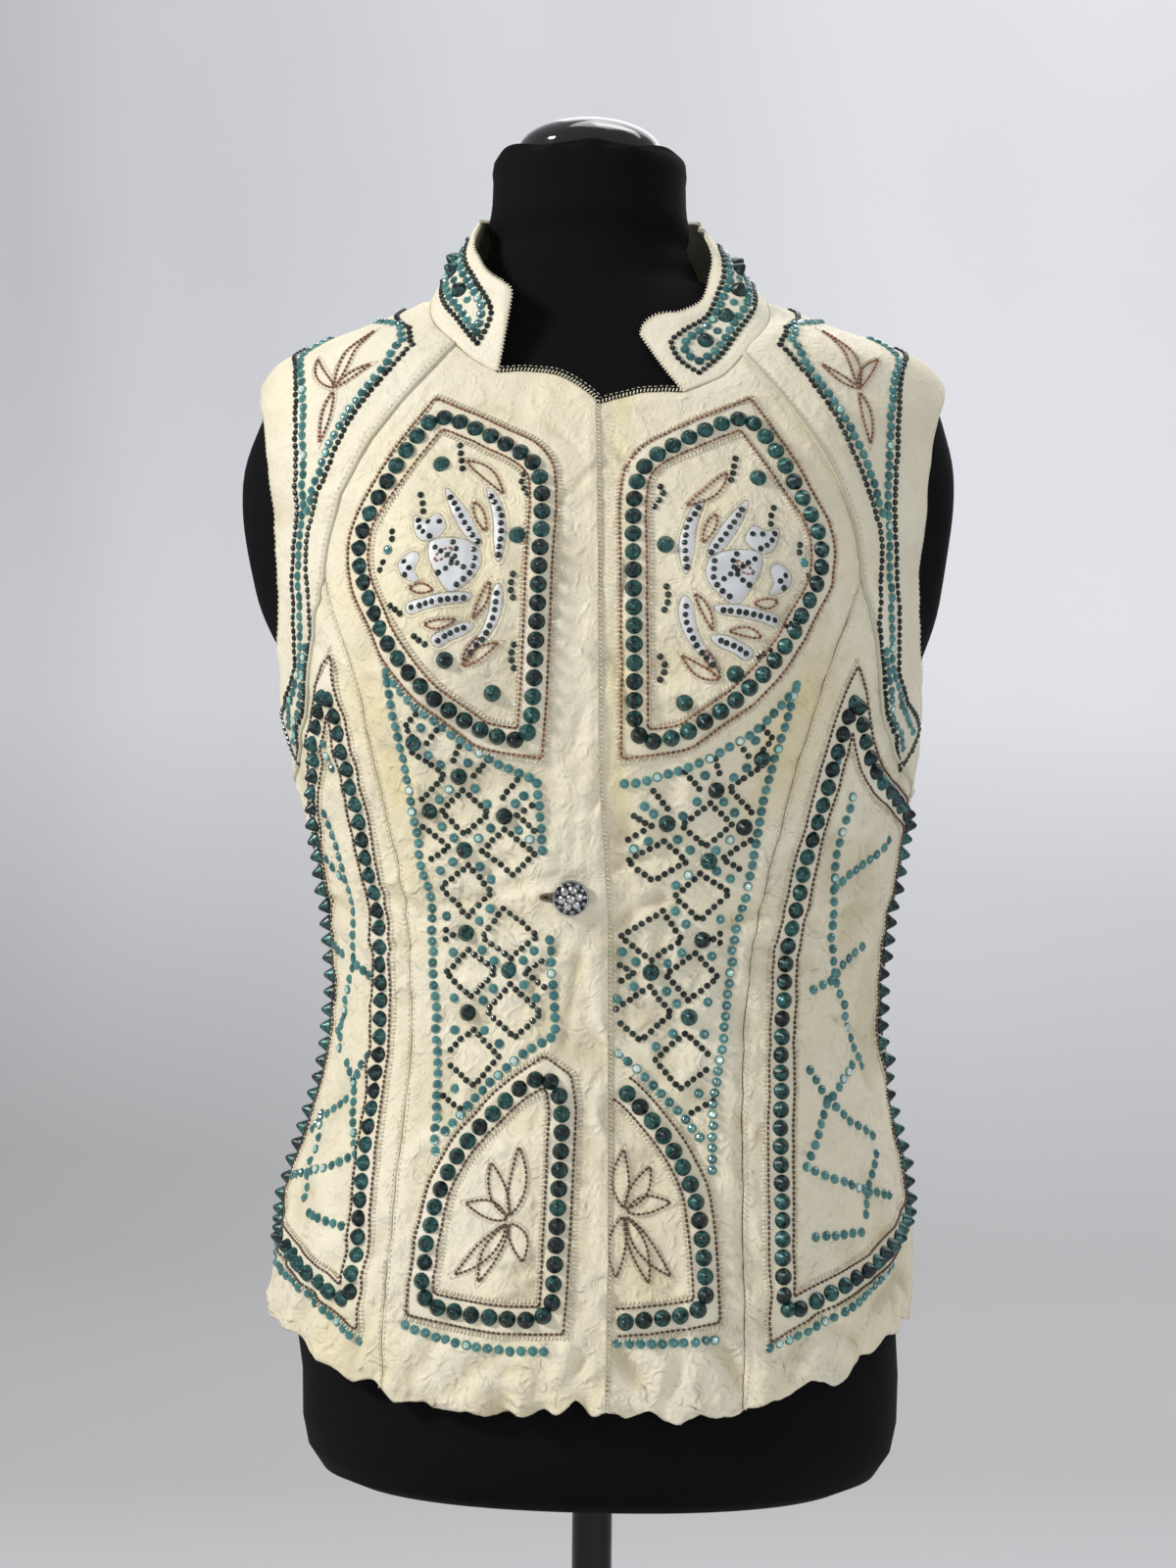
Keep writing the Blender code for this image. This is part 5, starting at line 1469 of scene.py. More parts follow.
FRAMES = (
    ("left_chest_frame", worn(CHEST_BAND), True, 1, "rust"),
    ("right_chest_frame", worn(reverse(mirrored(CHEST_BAND))), True, -1, "rust"),
    ("left_lower_frame", worn(LOWER_BAND_SHOWN), False, 1, "umber"),
    ("right_lower_frame", worn(mirrored(LOWER_BAND)), True, -1, "umber"),
    ("left_side_frame", worn(SIDE_BAND_INNER + SIDE_BAND_LEFT), True, 1, "umber"),
    ("right_side_frame", worn(reverse(mirrored(SIDE_BAND_INNER + SIDE_BAND_RIGHT))), True, -1,
     "umber"),
)
CONE = lathe(((0.00450, -0.0006), (0.00450, 0.0005), (0.00425, 0.0010), (0.0030, 0.0029),
              (0.0016, 0.0048), (0.0006, 0.0056), (0.0, 0.0057)), 14)
# Painted highlight and shade added to each cone stud's tone, ring by ring from the rim to the tip:
# a lighter band along the middle of the cone and a dark tip.
CONE_PAINTED_LIGHT = np.append(np.repeat((-0.25, -0.15, 0.15, 0.20, -0.05, -0.45), 14), -0.6)


def cones(name, spots, surface, out=BAND_RISE):
    """Cone studs at places on a surface, standing square to the smooth cloth."""
    spots = np.array(spots, dtype=float).reshape(-1, 2)
    ways = ways_at(spots, None, surface[1])
    spin = rng.uniform(0, 2 * pi, len(spots))
    ahead = ways[..., 0] * np.cos(spin)[:, None] + ways[..., 1] * np.sin(spin)[:, None]
    lean = rng.normal(0, 0.045, (len(spots), 2))
    up = ways[..., 2] + ways[..., 0] * lean[:, :1] + ways[..., 1] * lean[:, 1:]
    up = unit(up)
    ahead = unit(ahead - up * np.sum(ahead * up, axis=1, keepdims=True))
    ways = np.stack([ahead, np.cross(up, ahead), up], axis=-1)
    where = surface[0](*spots.T, out)
    tones = rng.uniform(-0.40, 0.60, len(spots))
    made = scatter(name, CONE, (where, ways), "stud", tones, painted_light_tones=CONE_PAINTED_LIGHT)
    return made


for name, points, closed, side, look in FRAMES:
    shown = uncovered(1, 0.2) if name == "left_lower_frame" else None
    middles = stud_frame(name, points, closed, side, look, shown)
    studs = cones(name + "_studs", middles, ON[side])
    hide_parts(name)


# Lattice, rows and side lines of nailheads and rhinestones

LATTICE = (
    ((37.7, .6200), (40.5, .6142), (39.2, .6088)), ((33.8, .6119), (36.4, .6053)),
    ((31.1, .5963), (29.6, .6037)), ((39.9, .6006), (33.8, .5881), (39.8, .5761)),
    ((23.5, .5967), (27.2, .5881)), ((20.4, .5776), (16.7, .5866)),
    ((30.1, .5808), (35.9, .5695), (30.6, .5582), (24.1, .5691), (30.1, .5808)),
    ((40.6, .5617), (34.7, .5512), (39.2, .5450)), ((16.8, .5687), (12.9, .5741)),
    ((16.8, .5687), (12.1, .5613)),
    ((20.3, .5609), (26.5, .5496), (18.3, .5376), (12.0, .5496), (20.3, .5609)),
    ((30.0, .5422), (37.4, .5306), (31.1, .5150), (24.3, .5279), (30.0, .5422)),
    ((21.3, .5197), (26.9, .5049), (19.0, .4940), (11.5, .5061), (21.3, .5197)),
    ((36.3, .5080), (34.6, .5053), (36.4, .5033)),
    ((30.5, .4979), (36.3, .4855), (29.2, .4734), (23.0, .4870), (30.5, .4979)),
    ((10.0, .4932), (14.8, .4870), (8.9, .4796)),
    ((18.7, .4804), (25.0, .4664), (16.6, .4528), (9.5, .4660), (18.7, .4804)),
    ((33.7, .4458), (28.5, .4567), (20.5, .4431), (26.5, .4279), (33.2, .4376)),
    ((34.3, .4220), (29.1, .4158)),
)
LATTICE_STONES = (
    (37.0, .6134), (36.6, .5990), (34.3, .5940), (28.0, .5952), (33.2, .5811), (27.1, .5815),
    (15.0, .5788), (36.0, .5757), (24.3, .5741), (17.1, .5749), (36.0, .5617), (23.7, .5617),
    (16.4, .5609), (13.4, .5566), (33.1, .5563), (27.0, .5563), (33.9, .5438), (27.1, .5415),
    (37.2, .5391), (24.2, .5349), (24.6, .5197), (36.0, .5154), (27.6, .5131), (34.5, .4963),
    (26.9, .4979), (12.0, .4983), (23.5, .4925), (15.1, .4932), (23.3, .4781), (14.8, .4804),
    (33.8, .4726), (26.1, .4718), (11.2, .4738), (25.3, .4563), (33.0, .4559), (20.7, .4497),
    (31.2, .4259),
)
CONES = {
    -1: ((39.4, .6053), (30.6, .5878), (38.8, .5695), (20.3, .5679), (30.8, .5500),
         (31.5, .5065), (19.2, .4878), (30.1, .4652), (38.5, .7504), (17.8, .7122),
         (30.9, .6477), (21.6, .6309)),
    1: ((41.6, .5987), (33.2, .5823), (40.9, .5633), (22.9, .5648), (34.0, .5457),
        (34.4, .5049), (21.2, .4878), (31.5, .4648), (41.9, .7441), (19.6, .7083),
        (32.9, .6418), (23.6, .6270)),
}
STONE_ROWS = {
    -1: (((43.1, .6404), (40.5, .6326), (37.8, .6245), (33.9, .6162), (30.3, .6084),
          (26.3, .6022), (22.0, .5956), (17.2, .5912), (11.7, .5866), (10.0, .5510)),
         ((43.1, .6420), (42.5, .5990), (42.3, .5605), (42.0, .5400), (40.6, .5240),
          (40.0, .5040), (39.4, .4835), (38.2, .4630), (37.0, .4430), (35.4, .4170),
          (33.6, .3940)),
         ((7.9, .5040), (5.3, .4600), (5.1, .4545), (13.0, .4460), (18.0, .4380),
          (23.5, .4268), (27.2, .4178), (31.6, .4040)),
         ((34.5, .3048), (27.2, .2997), (20.1, .2970), (11.6, .2957), (3.7, .2962)),
         ((79.9, .3372), (79.3, .3279), (63.1, .3196), (54.6, .3100), (44.6, .2944))),
    1: (((45.7, .6350), (43.7, .6276), (40.8, .6190), (37.7, .6108), (33.6, .6038),
         (29.9, .5979), (25.3, .5933), (20.0, .5890), (14.7, .5858), (11.3, .5854)),
        ((45.7, .6370), (44.6, .6110), (43.9, .5780), (44.1, .5400), (42.2, .5050),
         (40.6, .4680), (40.0, .4550), (38.2, .4370), (36.4, .4180), (34.9, .3870)),
        ((13.0, .4458), (18.0, .4378), (23.5, .4264), (27.8, .4172), (32.8, .4036)),
        ((12.7, .3006), (21.7, .3004), (28.7, .3012), (33.7, .3020)),
        ((44.5, .2972), (49.9, .3018), (55.9, .3080), (63.9, .3172), (70.3, .3250),
         (76.3, .3311))),
}
SIDE_LINES = {
    -1: (((62.7, .6049), (62.1, .5916)),
         ((66.8, .5679), (65.4, .5512), (64.6, .5356), (64.0, .5174), (63.9, .4991),
          (64.2, .4878), (67.1, .4664), (69.1, .4504)),
         ((71.0, .5430), (66.8, .5349)), ((75.9, .4971), (69.5, .4921)),
         ((64.1, .4893), (61.3, .4858), (58.5, .4820)), ((67.8, .4594), (67.9, .4415)),
         ((63.2, .4345), (59.3, .4248), (58.2, .4135), (55.4, .3995), (52.9, .3886)),
         ((56.2, .4392), (59.3, .4248)), ((61.4, .4158), (68.8, .4045), (73.0, .3968)),
         ((69.9, .4057), (67.5, .3940), (67.2, .3808)),
         ((52.9, .3886), (60.4, .3796), (78.0, .3684)), ((67.1, .3734), (65.9, .3621)),
         ((62.8, .3551), (52.5, .3516))),
    1: (((57.8, .6053), (58.1, .5916)),
        ((63.2, .5796), (63.0, .5633), (63.0, .5489), (63.6, .5352), (64.3, .5185),
         (64.9, .5045), (66.3, .4878), (68.6, .4738), (70.8, .4594), (72.2, .4497),
         (75.8, .4368)),
        ((77.1, .5563), (73.3, .5469), (67.5, .5387), (64.1, .5317)),
        ((75.2, .4998), (68.8, .4897), (66.5, .4835), (61.3, .4781)),
        ((71.5, .4376), (66.8, .4287), (62.8, .4185), (59.1, .4038), (55.7, .3874)),
        ((59.4, .4364), (63.0, .4213), (67.2, .4104), (73.9, .4003)),
        ((74.2, .3902), (70.0, .3711), (67.9, .3606)),
        ((55.4, .3874), (60.2, .3808), (66.6, .3750), (77.0, .3680)),
        ((55.4, .3516), (65.8, .3520))),
}
NAIL_PITCH, STONE_PITCH = 0.0041, 0.0057


def for_side(points, side):
    """The right lattice's places, moved a little for the left front."""
    if side < 0:
        return points
    return [(t + 2.2 * float(smooth_step(t, 6, 18)), h - 0.005 * float(smooth_step(h, 0.52, 0.56)))
            for t, h in points]


def row_of(kind, line, pitch, side, shown=None):
    """A row of nails or stones on one side, each one a little out of line."""
    spots = spread(np.array(line), pitch, ON[side][1])
    if tuple(line[0]) == tuple(line[-1]):
        spots = spots[:-1]
    if shown is not None:
        spots = spots[shown(*spots.T)]
    spots = spots + rng.normal(0, 1, spots.shape) * (0.07, 0.00012)
    trim(kind, spots, ON[side])


for side in (-1, 1):
    shown = uncovered(side, 1.6)
    for line in LATTICE:
        row_of("nail", placed(for_side(line, side), side), NAIL_PITCH, side, shown=shown)
    single = placed(for_side(LATTICE_STONES, side), side)
    single = single[shown(*single.T)]
    trim("stone", single, ON[side])
    for line in STONE_ROWS[side]:
        row_of("stone", placed(line, side), STONE_PITCH, side, shown=shown)
    for line in SIDE_LINES[side]:
        row_of("stone", placed(line, side), 0.0062, side)
    spots = placed(CONES[side], side)
    cones(("left" if side > 0 else "right") + "_loose_studs", spots, ON[side], 0.0001)


# The shoulder motif

OUTER_NAILS = ((83.2, .8208), (75.8, .8072), (71.9, .7826), (70.0, .7554), (69.1, .7282),
               (70.0, .7017), (70.6, .6753), (71.2, .6484), (74.4, .6330), (83.1, .6154),
               (80.2, .6030), (77.4, .5944))
INNER_NAILS = ((57.6, .8177), (59.0, .8002), (60.9, .7772), (62.1, .7613), (63.1, .7484),
               (65.0, .7274), (66.0, .7080), (65.6, .6900), (65.1, .6698), (66.9, .6465),
               (68.4, .6300), (72.6, .6110), (77.4, .5944))
TOP_NAILS = ((57.6, .8177), (62.8, .8285), (78.8, .8418))
OUTER_STONES = ((81.8, .8262), (77.9, .8161), (73.4, .8021), (70.4, .7823), (68.4, .7550),
                (67.5, .7348), (67.9, .7146), (68.3, .6900), (68.4, .6700), (69.3, .6480),
                (73.0, .6300), (79.0, .6150))
INNER_STONES = ((61.0, .8212), (59.8, .8072), (60.6, .7963), (61.5, .7854), (62.5, .7749),
                (63.6, .7636), (64.5, .7511), (65.2, .7406), (66.4, .7290))
TIP_STONES = ((67.2, .6560), (68.6, .6400), (71.5, .6200), (76.5, .6060))
RIDGE_STONES = ((61.0, .8212), (66.0, .8310), (80.5, .8360))
for side in (-1, 1):
    for line in (OUTER_NAILS, INNER_NAILS, TOP_NAILS):
        points = placed(line, side)
        row_of("nail", smooth_line([tuple(p) for p in points], 10) if len(line) > 3 else points,
               0.0037, side)
    for line in (OUTER_STONES, INNER_STONES, TIP_STONES, RIDGE_STONES):
        row_of("stone", placed(line, side), 0.0054, side)


# Stitched leaves and satin flowers

PATCHES = []
LEAF_EDGE = 0.0017


def curved(p, steps=8):
    """A closed Catmull-Rom curve through points."""
    made = []
    for i in range(len(p)):
        a, b, c, d = (p[(i + k) % len(p)] for k in (-1, 0, 1, 2))
        t = np.linspace(0, 1, steps, endpoint=False)[:, None]
        made.append(0.5 * (2 * b + (c - a) * t + (2 * a - 5 * b + 4 * c - d) * t ** 2
                           + (3 * b - a - 3 * c + d) * t ** 3))
    return np.concatenate(made)


def leaf_outline(start, end, widths, sway=0.0):
    """An almond between two places, with its half widths in mm to each side of the middle."""
    start, end = np.array(start, float), np.array(end, float)
    metric = local_scale(*((start + end) / 2))
    a, b = start * metric, end * metric
    ahead = b - a
    left = np.array([-ahead[1], ahead[0]]) / np.linalg.norm(ahead)
    t = np.linspace(0, 1, 13)
    swell = np.sin(pi * t ** 0.85) ** 0.9
    bow = np.sin(pi * t) * sway / 1000
    one = a + ahead * t[:, None] + left * (swell * widths[0] / 1000 + bow)[:, None]
    two = a + ahead * t[:, None] + left * (bow - swell * widths[1] / 1000)[:, None]
    return np.concatenate([one, two[-2:0:-1]]) / metric


def grown(outline, distance):
    """A closed outline in turn and height moved outwards, in metres."""
    metric = local_scale(*outline.mean(axis=0))
    plan = outline * metric
    return inset(plan, -distance if turning(plan) > 0 else distance) / metric


def stitched_leaf(side, start, end, widths, look, sway):
    """A leaf's outline in coloured stitches, with fine cream ones round it."""
    outline = leaf_outline(start, end, widths, sway)
    outline = placed(outline, side)
    stitch(look, looped(outline), 0.0025, 0.0023, 0.00068, ON[side], out=0.0004)
    stitch("cream_thread", looped(grown(outline, LEAF_EDGE)), 0.0016, 0.0015, 0.00030, ON[side],
           out=0.0001, slant=15)


def satin_patch(side, points, nails):
    """A raised piece of satin, sewn on with a grey thread, with nailheads on it."""
    outline = curved(placed(points, side))
    plan = flat(*outline.T)
    plan = plan if turning(plan) > 0 else plan[::-1]
    spots, faces = fine_fill(plan, 0.0016)
    room = room_in(spots, plan)
    turn, height = unflat(spots)
    rise = 0.0007 * (1 - bell(room, 0.0012)) + 0.00005
    PATCHES.append((ON[side][0](turn, height, rise), faces))
    stitch("grey_thread", looped(grown(outline, 0.0007)), 0.0013, 0.0015, 0.00024, ON[side],
           slant=35)
    stitch("cream_thread", looped(grown(outline, 0.0024)), 0.0016, 0.0015, 0.00028, ON[side],
           slant=12)
    for line in nails:
        row_of("nail", placed(line, side), NAIL_PITCH, side)


# Each leaf's start, end, half widths in mm and sway in mm
SHOULDER_LEAVES = (
    ((66.5, .7947), (69.8, .8274), (2.8, 2.4), -1.2),
    ((66.5, .7947), (72.9, .8120), (2.6, 2.2), 2.0),
    ((66.5, .7947), (62.5, .8075), (2.2, 2.4), 1.2),
    ((66.3, .7925), (65.5, .7648), (2.7, 2.7), 0.6),
)
LOWER_SWAYS = (1.6, -1.2, 1.4, -1.6, 1.2, -1.4)
LOWER_LEAVES = {
    -1: ((13.2, .3606), ((12.5, .3975), (19.3, .3894), (24.1, .3684), (24.8, .3322),
                         (19.4, .3290), (9.4, .3400))),
    1: ((13.9, .3660), ((14.2, .3975), (20.7, .3894), (25.2, .3711), (24.5, .3341),
                        (19.6, .3304), (12.2, .3330))),
}
CHEST_LEAVES = (
    ((33.0, .7520), (22.5, .7340), (3.0, 2.8), 2.2),
    ((28.9, .7300), (24.9, .7140), (2.4, 2.4), 0.0),
    ((34.6, .6990), (31.2, .7060), (2.6, 2.0), 1.0),
    ((39.0, .6850), (33.8, .6835), (2.6, 2.6), 0.8),
    ((35.2, .6660), (28.9, .6690), (2.2, 2.6), -1.4),
    ((22.8, .6885), (25.9, .6690), (2.2, 2.2), 1.0),
    ((27.4, .6446), (20.2, .6570), (3.2, 2.4), 1.5),
    ((27.4, .6446), (24.3, .6600), (2.0, 2.0), 0.5),
)
SATIN = (
    (((26.6, .7370), (24.2, .7330), (21.9, .7240), (20.6, .7120), (21.3, .6990), (22.6, .7080),
      (23.4, .7180), (24.6, .7270)),
     (((25.3, .7330), (22.4, .7240), (21.5, .7130), (21.5, .7020)),)),
    (((35.8, .7370), (33.6, .7330), (30.2, .7250), (27.4, .7160), (25.6, .7080), (28.0, .7100),
      (31.4, .7190), (34.2, .7290)),
     (((34.4, .7325), (31.5, .7240), (28.6, .7150), (26.6, .7095)),)),
    (((41.0, .7225), (38.4, .7210), (36.0, .7235), (33.9, .7170), (35.2, .7120), (37.2, .7100),
      (39.4, .7130)),
     (((40.0, .7205), (38.8, .7150), (36.6, .7120)), ((37.6, .7195), (35.4, .7195)))),
    (((36.2, .7090), (33.0, .7110), (29.6, .7100), (26.6, .7070), (25.2, .7000), (26.0, .6930),
      (28.2, .6870), (30.4, .6835), (32.2, .6870), (33.8, .6930), (35.6, .7000)),
     (((35.0, .7065), (31.2, .7005), (28.6, .6960)), ((31.6, .7090), (30.2, .7040),
                                                      (31.6, .6960), (33.4, .6930)),
      ((27.0, .7050), (26.4, .6980), (27.4, .6915), (29.4, .6870)))),
    (((42.0, .6990), (39.6, .7040), (38.0, .7010), (38.6, .6950), (37.4, .6890), (39.6, .6900),
      (41.2, .6930)),
     (((40.8, .6985), (39.4, .6950), (40.2, .6920)),)),
    (((39.0, .6770), (35.0, .6800), (30.6, .6825), (26.6, .6820), (27.6, .6785), (31.4, .6770),
      (35.4, .6745), (38.4, .6720)),
     (((38.0, .6750), (34.6, .6775), (30.8, .6795), (28.0, .6800)),)),
    (((33.4, .6590), (30.6, .6640), (27.6, .6670), (25.6, .6660), (27.0, .6620), (29.6, .6590),
      (32.2, .6550)),
     (((32.2, .6580), (29.8, .6620), (27.4, .6645)),)),
    (((20.9, .6870), (20.0, .6800), (20.6, .6700), (22.6, .6600), (25.6, .6520), (27.2, .6500),
      (25.4, .6570), (23.4, .6650), (22.4, .6740), (22.2, .6820)),
     (((21.1, .6820), (21.2, .6740), (22.2, .6650), (23.8, .6580), (25.8, .6520)),)),
)
CHEST_STRINGS = (
    ((35.6, .7600), (34.9, .7570), (34.4, .7530), (33.4, .7480)),
    ((18.2, .7440), (18.6, .7405), (17.6, .7365), (16.6, .7335)),
    ((41.0, .7340), (40.2, .7300), (39.6, .7255)), ((45.0, .7150), (44.6, .7110)),
    ((45.9, .6990), (46.3, .6950)), ((40.4, .6720), (42.6, .6760)),
    ((34.8, .6560), (37.2, .6600)), ((18.0, .6920), (18.4, .6860), (17.6, .6800)),
    ((17.0, .6560), (17.8, .6500), (17.0, .6440)),
)


def for_left_chest(points):
    """The right chest's places, moved a little for the left front."""
    return [(t + 2.6 * float(smooth_step(t, 12, 24)), h - 0.0055) for t, h in points]


for side in (-1, 1):
    fit = for_left_chest if side > 0 else list
    for start, end, widths, sway in SHOULDER_LEAVES:
        stitched_leaf(side, start, end, widths, "rust", sway * side)
    centre, tips = LOWER_LEAVES[side]
    for tip, sway in zip(tips, LOWER_SWAYS):
        inner = (centre[0] * 0.93 + tip[0] * 0.07, centre[1] * 0.93 + tip[1] * 0.07)
        stitched_leaf(side, inner, tip, (4.4, 4.4), "umber", sway)
    for start, end, widths, sway in CHEST_LEAVES:
        start, end = fit([start, end])
        stitched_leaf(side, start, end, widths, "rust", sway * side)
    for points, nails in SATIN:
        satin_patch(side, fit(points), [fit(line) for line in nails])
    for line in CHEST_STRINGS:
        row_of("nail", placed(fit(line), side), NAIL_PITCH, side)
    trim("stone", placed(fit([(45.3, .7055)]), side), ON[side])

faces, start = [], 0
for points, tris in PATCHES:
    faces += [tuple(start + i for i in tri) for tri in tris]
    start += len(points)
mesh_object("satin_flowers", np.concatenate([points for points, _ in PATCHES]), faces, "satin")


# Trim on the collar: its lines run from each front end round to the middle of the back

def collar_row(kind, line, pitch, size):
    spots = spread(smooth_line([tuple(p) for p in line], 12), pitch, collar_point)
    trim(kind, spots, ON_COLLAR, size)


COLLAR_UPPER = {1: ((35.0, .0064), (31.0, .0145), (27.6, .0235), (26.6, .0295), (28.6, .0340),
                    (33.0, .0368), (42.0, .0378), (180.0, .0378)),
                -1: ((41.0, .0082), (38.6, .0200), (37.6, .0285), (39.5, .0335), (44.0, .0368),
                     (52.0, .0378), (180.0, .0378))}
COLLAR_LOWER = {1: ((35.0, .0064), (40.0, .0096), (46.0, .0110), (180.0, .0112)),
                -1: ((41.0, .0082), (46.0, .0098), (54.0, .0112), (180.0, .0112))}
UPPER_STONES = {1: ((35.6, .0135), (32.2, .0200), (31.0, .0262), (33.6, .0305), (41.0, .0325),
                    (180.0, .0327)),
                -1: ((42.0, .0135), (41.6, .0215), (41.6, .0272), (44.8, .0312), (52.0, .0327),
                     (180.0, .0327))}
LOWER_STONES = {1: ((35.6, .0135), (42.0, .0150), (50.0, .0163), (180.0, .0165)),
                -1: ((42.0, .0135), (47.0, .0152), (54.0, .0165), (180.0, .0165))}
for side in (1, -1):
    for kind, lines, pitch, size in (("nail", (COLLAR_UPPER, COLLAR_LOWER), 0.0036, 0.95),
                                     ("stone", (UPPER_STONES, LOWER_STONES), 0.0053, 0.98)):
        for line in lines:
            collar_row(kind, [(turn if side > 0 else 360 - turn, up) for turn, up in line[side]],
                       pitch, size)
STUDS_FROM, STUDS_TO, STUDS_EVERY, STUDS_UP = 39.0, 313.5, 9.9, 0.0243
spots = [(turn, STUDS_UP) for turn in np.arange(STUDS_FROM, STUDS_TO, STUDS_EVERY)]
cones("collar_studs", spots, ON_COLLAR, 0.0)
spots = [(turn + STUDS_EVERY / 2, STUDS_UP)
         for turn in np.arange(STUDS_FROM, STUDS_TO - 5, STUDS_EVERY)]
trim("stone", spots, ON_COLLAR, 0.9)
near, near_tip, far, far_tip = ends
top = level_line(near_tip[-1][0], far_tip[-1][0], COLLAR_HEIGHT)
edge_line = np.concatenate([near, near_tip[1:-1], top, far_tip[-2:0:-1], reverse(far)])
stitch("cream_thread", edge_line, 0.0020, 0.0022, 0.00032, ON_COLLAR, slant=70)
stitch("cream_thread", level_line(near[0][0], far[0][0], 0.0032), *FINE, ON_COLLAR)
make_stitches()


# Nailheads and rhinestones

NAIL = lathe(((0.00182, -0.0009), (0.00182, 0.0003), (0.00138, 0.00105), (0.0, 0.0016)), 7)
STONE = lathe(((0.00262, -0.0007), (0.00262, 0.0004), (0.00238, 0.00085), (0.0019, 0.00075),
               (0.00172, 0.0012), (0.00105, 0.00175), (0.0, 0.00185)), 10)
STONE_PARTS = [0 if i < 30 else 1 for i in range(len(STONE[1]))]


def gathered(kind):
    return (np.concatenate([row[k] for row in TRIMS[kind]]) for k in range(3))


where, ways, sizes = gathered("nail")
scatter("nailheads", NAIL, (where, ways), "nail", rng.uniform(0, 1, len(where)), sizes,
        smooth=False)
where, ways, sizes = gathered("stone")
# About one stone in nine gets the painted glint look, in place of stones catching the light.
glint_pick = rng.uniform(0, 1, len(where)) < 0.11
for name, pick, looks in (("rhinestones", ~glint_pick, ("rim", "stone")),
                          ("rhinestones_painted_glint", glint_pick, ("rim", "glint_painted"))):
    scatter(name, STONE, (where[pick], ways[pick]), looks, rng.uniform(0, 1, int(pick.sum())),
            sizes[pick], STONE_PARTS, smooth=False)


# The button

def make_button():
    """A pewter button with a pebbled dome and a raised rim."""
    radius, clear = BUTTON["radius"], BUTTON_CLEAR
    rings = 30
    profile = [(radius * k / rings, clear + BUTTON["thick"]
                + BUTTON["dome"] * cos(pi / 2 * k / rings)) for k in range(rings + 1)][::-1]
    profile = [(radius * 0.84, clear), (radius * 0.97, clear + 0.0005),
               (radius, clear + BUTTON["thick"] * 0.5)] + profile
    points, faces = lathe(profile, 96)
    spots = points[:, :2] / radius
    top = points[:, 2] > clear + BUTTON["thick"] * 0.9
    bumps = [(0.02, -0.03, 0.25)]
    bumps += [(0.50 * cos(a + 0.2), 0.50 * sin(a + 0.2), 0.235) for a in np.arange(6) * pi / 3]
    bumps += [(0.80 * cos(a), 0.80 * sin(a), 0.125) for a in np.arange(12) * pi / 6 + 0.1]
    pebbles = np.zeros(len(points))
    for x, y, size in bumps:
        near = 1 - np.sum((spots - (x, y)) ** 2, axis=1) / size ** 2
        pebbles = np.maximum(pebbles, size * np.sqrt(np.clip(near, 0, 1)))
    rim = bell(np.hypot(*spots.T) - 0.965, 0.035)
    points[:, 2] += np.where(top, 0.0030 * pebbles + 0.0004 * rim, 0)
    tones = np.clip(4.5 * pebbles + rim, 0, 1)
    spot = np.array([[BUTTON["turn"], BUTTON["height"]]])
    way = ways_at(spot, None, right_base)[0]
    seat = cloth_point(BUTTON["turn"], BUTTON["height"], OVERLAP_LIFT)
    points = seat + points @ way.T
    made = mesh_object("pewter_button", points, faces, "pewter", facts={"tone": tones})
    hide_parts("front_button")
    start, end = BUTTONHOLE["from"], BUTTONHOLE["to"]
    line = np.array([(start - 0.3 + (end - start) / 2 * (1 - cos(t)) * 1.02,
                      BUTTON["height"] + 0.0019 * sin(t)) for t in np.linspace(0, 2 * pi, 60)])
    STITCHES.clear()
    stitch("umber", line, 0.00085, 0.0022, 0.00030, ON[-1], slant=88, out=0.0001)
    make_stitches()


LOOKS["pewter"] = glossy_material("button_pewter", (0.012, 0.012, 0.013), (0.60, 0.60, 0.59), 0.22,
                                  0.85, 0.0, 700.0)
make_button()


# The dress form

def form_ring(turns, height):
    """A ring of the form, inside the vest, with a low arm plate in each armhole."""
    gaps = np.array(FORM_INSET)
    clear = np.interp(height, *gaps.T)
    across = (np.abs(away(turns, 0)) - ARM_PLATE["turn"]) / ARM_PLATE["across"]
    along = (height - ARM_PLATE["height"]) / ARM_PLATE["along"]
    plate = np.exp(-(across ** 2 + along ** 2) ** 2)
    level = np.full(len(turns), height)
    out = np.where(away(turns, 0) > 0, ARM_PLATE["left"], ARM_PLATE["right"]) * plate - clear
    return section_point(turns, level) + normal(turns, level) * out[:, None]


def oval_ring(turns, shift, height, wide, fore, back):
    """A plain oval ring of the form's foot or neck, moved along X."""
    s, c = np.sin(np.radians(turns)), np.cos(np.radians(turns))
    deep = np.where(c > 0, fore, back)
    r = oval(s, c, wide, deep)
    return np.stack([r * s + shift, -r * c, np.full(len(turns), height)], axis=-1)


